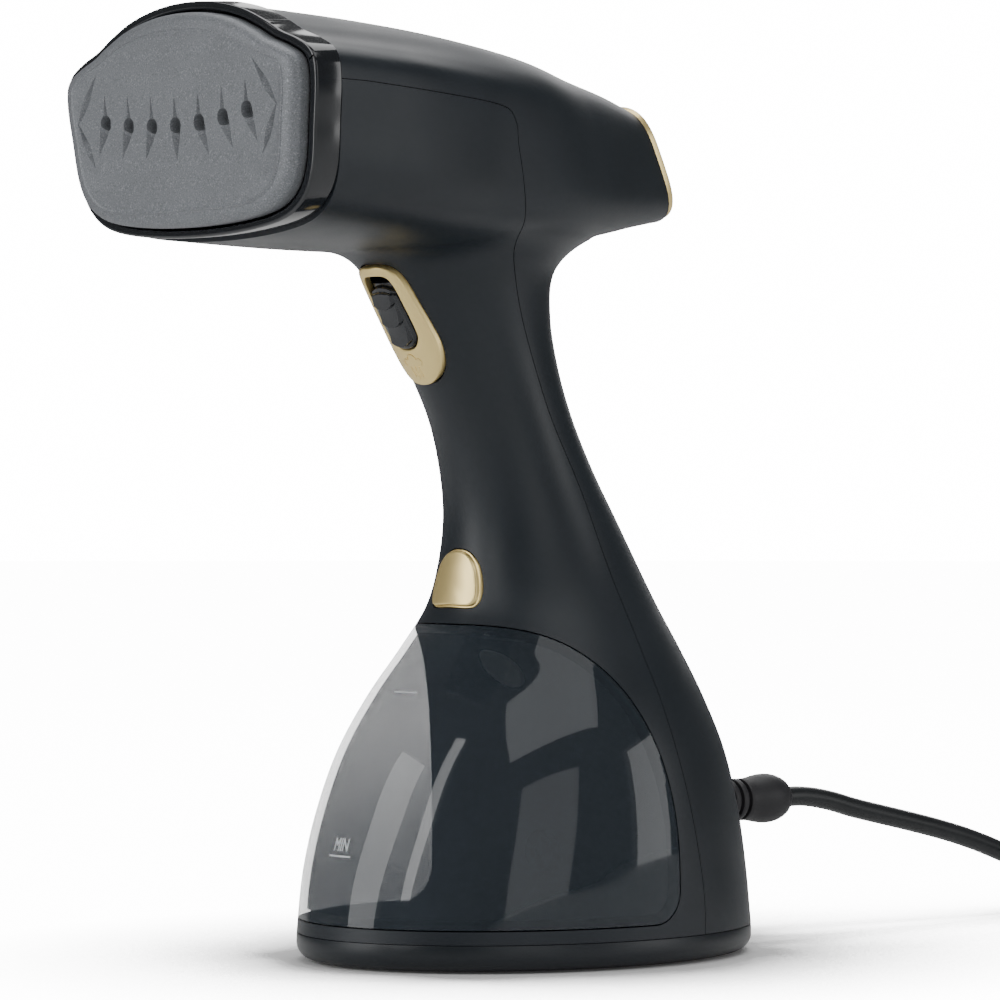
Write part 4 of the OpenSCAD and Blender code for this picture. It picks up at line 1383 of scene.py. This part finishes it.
# ---------------------------------------------------------------- head
@dataclass
class HeadFront:
    """The gloss ring round the soleplate, and the soleplate."""

    ring_scale: tuple[float, float] = (1.073, 1.10)
    bore_scale: tuple[float, float] = (1.014, 1.022)
    thick: float = 6.6
    holes: int = 7
    pitch: float = 11.1
    hole_radius: float = 1.65
    fan: float = 22.0
    roll: float = 4.4
    level: float = -0.22
    ring_ends: tuple[float, float] = (-13.8, -5.4)
    grooves: Points = ((33.2, 28.6, -22), (37.0, 27.0, -24), (56.5, 14.2, -62))
    eye: tuple[float, float, float] = (39.5, 26.2, -24)
    darts: tuple[Points, ...] = (((40.0, -9.6), (46.6, 2.2)), ((46.6, 2.9), (37.6, 14.8)))

    def hole_places(self) -> list[tuple[float, float, float]]:
        """Across, up and turn of every steam hole."""
        steps = np.arange(self.holes) - (self.holes - 1) / 2
        return [(i * self.pitch, -0.6 + 0.0022 * (i * self.pitch) ** 2,
                 np.sign(i) * self.fan + i) for i in steps]

    def ring(self) -> None:
        """The ring, with cross grooves and a small eye at each upper corner."""
        outer, inner = PLATE_EDGE * self.ring_scale, PLATE_EDGE * self.bore_scale
        ring = to_object(band_of(outer, inner, *self.ring_ends, 0.7, AT_PLATE, around=320, cells=3),
                         "head_ring_gloss")
        for side in (-1, 1):
            for x, v, lean in self.grooves:
                at = (AT_PLATE @ Matrix.Translation((side * x, v, -8.4))
                      @ Matrix.Rotation(math.radians(side * lean), 4, "Z"))
                work(ring, block((0.5, 2.4, 13), at, 0.1), Cut.TAKE)
            x, v, lean = self.eye
            eye = (AT_PLATE @ Matrix.Translation((side * x, v, -6.4))
                   @ Matrix.Rotation(math.radians(side * lean), 4, "Z")
                   @ Matrix.Rotation(math.radians(90), 4, "X"))
            work(ring, round_bar(0.55, -3, 3, eye, sides=24), Cut.TAKE)
        finish_piece(ring, GLOSS_BLACK, "housing", ["head_ring"])

    def leaf(self, length: tuple[float, float], half: float, deep: float,
             at: Matrix) -> bmesh.types.BMesh:
        """A pointed tool that cuts a groove with a V section.

        Args:
            length: How far it runs below and above its frame.
            half: Half its width.
            deep: Its depth.
            at: The frame, on the surface.

        Returns:
            The closed tool.
        """
        bm = bmesh.new()
        above = 1.0
        spread = (deep + above) / deep
        for x, y in ((0, -length[0]), (half, -length[0] * 0.1), (0, length[1]),
                     (-half, -length[0] * 0.1)):
            bm.verts.new((x * spread, y * spread, above))
        bm.verts.new((0, -length[0] * 0.45, -deep))
        bm.verts.new((0, length[1] * 0.4, -deep))
        bmesh.ops.convex_hull(bm, input=bm.verts)
        bmesh.ops.recalc_face_normals(bm, faces=bm.faces)
        bmesh.ops.transform(bm, matrix=at, verts=bm.verts)
        return bm

    def soleplate(self) -> None:
        """The speckled plate with its rolled edge, steam holes, grooves and corner darts."""
        profile = [(60, -self.thick), (0.9, -self.thick), (0.3, -6.4), (0, -6.0), (0, -3.6)]
        profile += [(self.roll * (1 - math.cos(a)), -3.6 + 3.2 * math.sin(a))
                    for a in np.linspace(0, 1.5, 18)[1:]]
        wide = self.roll
        profile += [(wide + 0.1, -0.36), (wide + 0.35, -0.12), (wide + 0.65, 0.0),
                    (wide + 0.95, -0.04), (wide + 1.3, -0.16), (wide + 1.7, self.level),
                    (60, self.level)]
        plate = to_object(plug_of(PLATE_EDGE, profile, AT_PLATE, around=360), "soleplate_face")
        for x, v, turn in self.hole_places():
            spot = AT_PLATE @ Matrix.Translation((x, v, self.level))
            low = spot @ Matrix.Rotation(math.radians(turn), 4, "Z")
            work(plate, self.leaf((8.6, 1.6), 2.1, 1.9, low), Cut.TAKE)
            work(plate, self.leaf((1.0, 7.5), 1.1, 1.1, spot), Cut.TAKE)
            sink = round_bar(self.hole_radius + 0.25, -2.8, 0.4, spot, tip=2.6, sides=48)
            work(plate, sink, Cut.TAKE)
            work(plate, round_bar(self.hole_radius, -6, 1, spot, sides=40), Cut.TAKE)
        for side in (-1, 1):
            for low, high in self.darts:
                run = Vector((side * (high[0] - low[0]), high[1] - low[1]))
                at = (AT_PLATE @ Matrix.Translation((side * low[0], low[1], self.level))
                      @ Matrix.Rotation(math.atan2(run.y, run.x) - math.pi / 2, 4, "Z")
                      @ Matrix.Translation((0, run.length / 2, 0)))
                work(plate, self.leaf((run.length / 2, run.length / 2), 1.3, 1.3, at), Cut.TAKE)
        finish_piece(plate, SOLEPLATE, "housing", ["soleplate"], math.radians(9))

    def build(self) -> None:
        """Makes the ring and the plate."""
        self.ring()
        self.soleplate()


# ---------------------------------------------------------------- controls
def wire(points: Points, radius: float, at: Matrix) -> bmesh.types.BMesh:
    """A round wire along a path, with closed ends.

    Args:
        points: The path.
        radius: The wire's radius.
        at: The frame.

    Returns:
        The closed mesh.
    """
    made = tube("wire", points, radius)
    mesh = evaluated(made)
    bm = bmesh.new()
    bm.from_mesh(mesh)
    bpy.data.objects.remove(made)
    bpy.data.meshes.remove(mesh)
    bmesh.ops.remove_doubles(bm, verts=bm.verts, dist=1e-4)
    bmesh.ops.recalc_face_normals(bm, faces=bm.faces)
    bmesh.ops.transform(bm, matrix=at, verts=bm.verts)
    return bm


@dataclass
class SteamTrigger:
    """The gold surround on the grip and the ribbed trigger in its slot."""

    crown: float = 0.9
    grip_radius: float = 20.0
    pad_lips: tuple[float, ...] = (6.4, 0.5, -5.9)
    lip_rise: float = 1.25
    proud: float = 1.15
    pad_pitch: float = 6.3
    shrink: float = 0.93
    hinge: tuple[float, float] = (-13, -6)

    def hinge_line(self) -> Matrix:
        """The frame whose Z axis is the trigger's hinge line."""
        return AT_TRIGGER @ Matrix.Translation((0, *self.hinge)) @ Matrix.Rotation(math.pi / 2, 4, "Y")

    def surround(self) -> None:
        """The surround, bent round the grip, with its embossed steam mark and its hinge lugs."""
        top = AT_TRIGGER @ Matrix.Translation((0, 0, self.crown))
        bend = around_cylinder(self.grip_radius + self.crown)
        band = to_object(band_of(BEZEL_EDGE, SLOT_EDGE, -2.4, 0.0, 0.55, top, around=240,
                                 bend=bend, cells=6, crown=0.12), "trigger_surround")
        for side in (-1, 1):
            lug_at = AT_TRIGGER @ Matrix.Translation((side * 6.7, self.hinge[0], -5.8))
            lug = block((1.8, 6, 6.4), lug_at, 0.3)
            work(band, lug, Cut.JOIN)
        work(band, round_bar(1.3, -12, 12, self.hinge_line(), sides=32), Cut.TAKE)
        for line in self.steam_lines():
            work(band, wire([(x, y, self.surface(x) - 0.02) for x, y in line], 0.24, AT_TRIGGER),
                 Cut.JOIN)
        finish_piece(band, GOLD, "housing", ["trigger_bezel"])

    def surface(self, x: float) -> float:
        """Height of the surround's surface across the grip."""
        reach = self.grip_radius + self.crown
        return self.crown + 0.1 - (reach - math.sqrt(reach * reach - x * x))

    def steam_lines(self) -> list[list[tuple[float, float]]]:
        """Paths of the embossed steam mark: three rising lines under a puff."""
        rising = [[(x, -17.3 + 0.5 * abs(x)), (x * 1.05 + 0.25, -16), (x * 1.1 - 0.1, -14.6),
                   (x * 1.2 + 0.2, -13.2)] for x in (-1.5, 0.0, 1.5)]
        puffs = [(-3.3, -12.9), (-3.9, -11.7), (-3.0, -10.7), (-1.9, -10.9), (-1.2, -9.7),
                 (0.3, -9.2), (1.5, -10.0), (1.8, -10.9), (2.9, -10.8), (3.7, -11.8), (3.1, -12.9)]
        return rising + [puffs]

    def height(self, x: Array, y: Array) -> Array:
        """Height of the trigger's face: scooped pads that each end in a raised smile-shaped lip."""
        reach = self.grip_radius + 0.35
        base = self.proud - (reach - np.sqrt(reach**2 - x**2))
        wide = np.clip((4.9 - np.abs(x)) / 1.1, 0, 1)
        wide = wide * wide * (3 - 2 * wide)
        out = base.copy()
        for lip in self.pad_lips:
            down = (y - (lip + 0.085 * x * x)) / self.pad_pitch
            ramp = np.clip(1 - down, 0, 1) ** 1.6 * (down >= 0)
            edge = np.clip(1 + down * self.pad_pitch / 0.38, 0, 1) * (down < 0)
            out = np.maximum(out, base + self.lip_rise * wide * np.maximum(ramp, edge))
        step = np.clip((y + 0.04 * x * x - 11.1) / 0.5, 0, 1)
        last = np.clip((y + 0.06 * x * x - 12.6) / 0.5, 0, 1)
        return out - 0.8 * step * step * (3 - 2 * step) - 1.5 * last * last * (3 - 2 * last)

    def face(self) -> bmesh.types.BMesh:
        """The trigger's face as a block whose top follows its height."""
        edge = SLOT_EDGE * self.shrink - (0, 0.2)
        bm = bmesh.new()
        bmesh.ops.create_grid(bm, x_segments=96, y_segments=200, size=0.5)
        top = list(bm.verts)
        bottom = thickened(bm, bm.faces[:])
        flat = np.array([v.co[:2] for v in top]) * (14, 25) + (0, 4)
        closed = np.vstack([edge, edge[:1]])
        run = np.diff(closed, axis=0)
        length = (run**2).sum(1)
        near = np.full(len(flat), 9.0)
        for a, d, n in zip(closed[:-1], run, length):
            t = np.clip(((flat - a) @ d) / n, 0, 1)
            near = np.minimum(near, np.linalg.norm(flat - a - t[:, None] * d, axis=1))
        soft = np.clip(1 - near / 0.7, 0, 1)
        level = self.height(flat[:, 0], flat[:, 1]) - 0.7 * (1 - np.sqrt(1 - soft**2))
        for vert, (x, y), z in zip(top, flat, level):
            vert.co = (x, y, z)
        for vert in bottom:
            vert.co = (vert.co.x * 14, vert.co.y * 25 + 4, -8.9)
        bmesh.ops.recalc_face_normals(bm, faces=bm.faces)
        return bm

    def lever(self) -> None:
        """The trigger, with its hinge boss."""
        face = self.face()
        bmesh.ops.transform(face, matrix=AT_TRIGGER, verts=face.verts)
        lever = to_object(face, "steam_trigger")
        edge = SLOT_EDGE * self.shrink - (0, 0.2)
        edge[:, 1] = np.minimum(edge[:, 1], 13.4)
        work(lever, prism(edge, -9, 4, AT_TRIGGER), Cut.KEEP)
        arm = block((10.4, 8, 4.8), AT_TRIGGER @ Matrix.Translation((0, -9, -6.6)), 0.4)
        work(lever, arm, Cut.JOIN)
        work(lever, round_bar(3, -5.2, 5.2, self.hinge_line()), Cut.JOIN)
        work(lever, round_bar(1.32, -12, 12, self.hinge_line(), sides=32), Cut.TAKE)
        finish_piece(lever, TRIGGER_BLACK, "trigger_body", ["trigger"])

    def build(self) -> None:
        """Makes the surround and the trigger."""
        self.surround()
        self.lever()


@dataclass
class ReleaseButton:
    """The button that frees the tank."""

    radius: float = 29.1
    crown: float = 1.5

    def build(self) -> None:
        """A domed face on a stepped rim, with its stem and its latch arm behind."""
        profile = [(20, -6.5), (0.35, -6.5), (0.05, -6.2), (0, -1.3), (0.12, -1.12), (0.3, -1.08),
                   (0.5, -1.1), (0.58, -1.0), (0.62, -0.62), (0.68, -0.35), (0.85, -0.14),
                   (1.1, -0.03), (1.45, 0), (1.6, 0.0), (3, 0.05), (5, 0.1), (20, 0.12)]
        top = AT_RELEASE @ Matrix.Translation((0, 0, self.crown))
        button = to_object(plug_of(BUTTON_EDGE, profile, top, around=200,
                                   bend=around_cylinder(self.radius)), "release_button_face")
        work(button, round_bar(2, -14.6, -4.9, AT_RELEASE), Cut.JOIN)
        arm = block((8, 8, 2.1), AT_RELEASE @ Matrix.Translation((0, -8.1, -5.95)), 0.3)
        work(button, arm, Cut.JOIN)
        finish_piece(button, GOLD, "release", ["release_button"])


@dataclass
class TailEnd:
    """The gold band on the back of the head, with its cap, power button and lamp."""

    half: tuple[float, float] = (16.07, 18.47)
    power: float = 3.35
    button_up: float = 1.5
    lamp_up: float = -9

    def spot(self, up: float) -> Matrix:
        """A frame on the cap, some way up its middle."""
        return AT_TAIL @ Matrix.Translation((0, up, 0))

    def edge(self, inset: float) -> Array:
        """The outline, moved in."""
        return superellipse(self.half[0] - inset, self.half[1] - inset, self.power, 240)

    def trim(self) -> None:
        """The gold band."""
        band = to_object(band_of(self.edge(0.12), self.edge(2.2), 0.1, 2.3, 0.55, AT_TAIL,
                                 around=240, cells=4, crown=0.06), "tail_band")
        finish_piece(band, GOLD, "housing", ["rear_trim"])

    def cap(self) -> None:
        """The cap, slightly domed, with a dished seat for the button and a hole for the lamp."""
        profile = [(40, -1.4), (0.3, -1.4), (0, -1.1), (0, 0.5), (0.15, 0.8), (0.5, 0.98),
                   (2, 1.12), (5, 1.3), (9, 1.42), (40, 1.5)]
        cap = to_object(plug_of(self.edge(2.5), profile, AT_TAIL, around=240), "tail_cap")
        seat = self.spot(self.button_up)
        work(cap, round_bar(6.2, -3, 5, seat, sides=80), Cut.TAKE)
        work(cap, round_bar(6.2, 0.75, 1.75, seat, tip=7.6, sides=80), Cut.TAKE)
        lamp = self.spot(self.lamp_up)
        work(cap, round_bar(1.7, -3, 5, lamp, sides=40), Cut.TAKE)
        work(cap, round_bar(1.7, 1.0, 1.7, lamp, tip=2.4, sides=40), Cut.TAKE)
        finish_piece(cap, HOUSING, "housing", ["rear_cap"])

    def button(self) -> None:
        """The power button, dished, with a ring and bar mark pressed into it."""
        profile = [(0, -5), (5.7, -5), (5.95, -4.7), (5.95, 1.55), (5.8, 1.95), (5.45, 2.15),
                   (5, 2.2), (4.6, 2.14), (4.1, 1.98), (3, 1.8), (1.5, 1.7), (0, 1.66)]
        at = self.spot(self.button_up)
        button = to_object(turned(profile, at, 96), "power_button_face")
        work(button, round_bar(1.8, -15.2, -4.2, at), Cut.JOIN)
        arc = [(1.9 * math.sin(a), 1.9 * math.cos(a), 1.76) for a in np.linspace(0.6, 5.68, 15)]
        work(button, wire(arc, 0.2, at), Cut.TAKE)
        work(button, wire([(0, 0.5, 1.72), (0, 1.4, 1.74), (0, 2.4, 1.8)], 0.2, at), Cut.TAKE)
        finish_piece(button, GLOSS_BLACK, "power", ["power_button"])

    def lens(self) -> None:
        """The lamp's domed lens."""
        dome = [(1.6 * math.cos(a), 1.15 + 0.55 * math.sin(a)) for a in np.linspace(0, 1.5, 6)]
        profile = [(0, -2.5), (1.6, -2.5), *dome, (0, 1.7)]
        lens = to_object(turned(profile, self.spot(self.lamp_up), 48), "lamp_lens")
        finish_piece(lens, AMBER, "housing", ["indicator_lens"])

    def build(self) -> None:
        """Makes the tail's pieces."""
        self.trim()
        self.cap()
        self.button()
        self.lens()


# ---------------------------------------------------------------- base
@dataclass
class Base:
    """The base cap under the housings and its rubber pad."""

    half: tuple[float, float] = (57.5, 72.75)
    middle: float = -0.75
    top: float = 8.2
    screws: Points = ((-39.2, -40), (39.2, -40), (-48.4, 8), (48.4, 8))

    def edge(self, inset: float = 0) -> Array:
        """The base's outline, moved in."""
        return superellipse(self.half[0] - inset, self.half[1] - inset, 2, 288) + (0, self.middle)

    def cap(self) -> None:
        """The cap: a shallow cup with a rolled lower edge, a recess for the pad and screw holes."""
        profile = [(90, 3.6), (3.6, 3.6), (2.6, 4.2), (2.2, 5), (2.2, self.top), (0.3, self.top),
                   (0.1, 8.12), (0, 7.9), (0, 5.2), (0.06, 4.5), (0.26, 3.7), (0.65, 2.9),
                   (1.25, 2.1), (2.1, 1.35), (3.1, 0.85), (4.2, 0.6), (11.6, 0.6), (11.8, 0.7),
                   (11.8, 1.55), (90, 1.55)]
        cap = to_object(plug_of(self.edge(), profile, Matrix(), around=288), "base_shell")
        for x, y in self.screws:
            work(cap, round_bar(1.8, -1, 7, place(x, y)), Cut.TAKE)
            work(cap, round_bar(3.2, -1, 2.2, place(x, y)), Cut.TAKE)
        finish_piece(cap, BASE_SATIN, "housing", ["base_cap"])

    def pad(self) -> None:
        """The pad, with rings that grip the bench."""
        rings = []
        for inset in range(34, 2, -4):
            rings += [(inset + 1.2, 0), (inset + 0.9, 0.45), (inset + 0.3, 0.45), (inset, 0)]
        profile = [(90, 1.5), (0.2, 1.5), (0, 1.3), (0, 0.4), (0.35, 0.05), (0.6, 0)]
        pad = plug_of(self.edge(12), profile + rings[::-1] + [(90, 0)], Matrix(), around=200)
        finish_piece(to_object(pad, "grip_pad"), RUBBER, "housing", ["base_pad"])

    def build(self) -> None:
        """Makes the cap and the pad."""
        self.cap()
        self.pad()


# ---------------------------------------------------------------- inside
@dataclass
class Inside:
    """The pieces that keep their own shape, each with a finish of its own."""

    finishes: dict[str, Finish] = field(default_factory=lambda: {
        "plate_seal": SILICONE, "plate_carrier": TRIM_BLACK, "steam_chamber": CAST,
        "chamber_cover": SHEET, "heating_element": TINTED, "thermostat": TRIM_BLACK,
        "thermal_fuse": CERAMIC, "steam_elbow": BRASS, "chamber_screws": ZINC,
        "trigger_pin": ZINC, "trigger_spring": ZINC, "trigger_switch": TRIM_BLACK,
        "button_guide": TRIM_BLACK, "release_spring": ZINC, "tank_valve": TRIM_BLACK,
        "tank_seal": SILICONE, "water_socket": TRIM_BLACK, "pump": PUMP,
        "pump_mount": TRIM_BLACK, "inlet_hose": SILICONE, "outlet_hose": SILICONE,
        "control_board": BOARD, "mains_relay": RELAY, "mains_wires": WIRE,
        "cord_clamp": TRIM_BLACK, "base_screws": ZINC, "clamp_screws": ZINC})

    def build(self) -> None:
        """Dresses every piece."""
        for name, finish in self.finishes.items():
            piece = frame["nodes"][name]
            material = finish.material()
            if not piece.material_slots:
                piece.data.materials.append(material)
            for slot in piece.material_slots:
                slot.material = material


def main() -> None:
    """Builds everything in order."""
    logging.basicConfig(level=logging.INFO, format="%(name)s: %(message)s")
    for group in (Studio(), CordSet(), Housings(), Tank(), HeadFront(), SteamTrigger(),
                  ReleaseButton(), TailEnd(), Base(), Inside()):
        known = set(bpy.data.objects)
        group.build()
        made = sorted(o.name for o in set(bpy.data.objects) - known)
        LOG.info("%s: %s", type(group).__name__, ", ".join(made) or "finishes")


if __name__ == "__main__":
    main()
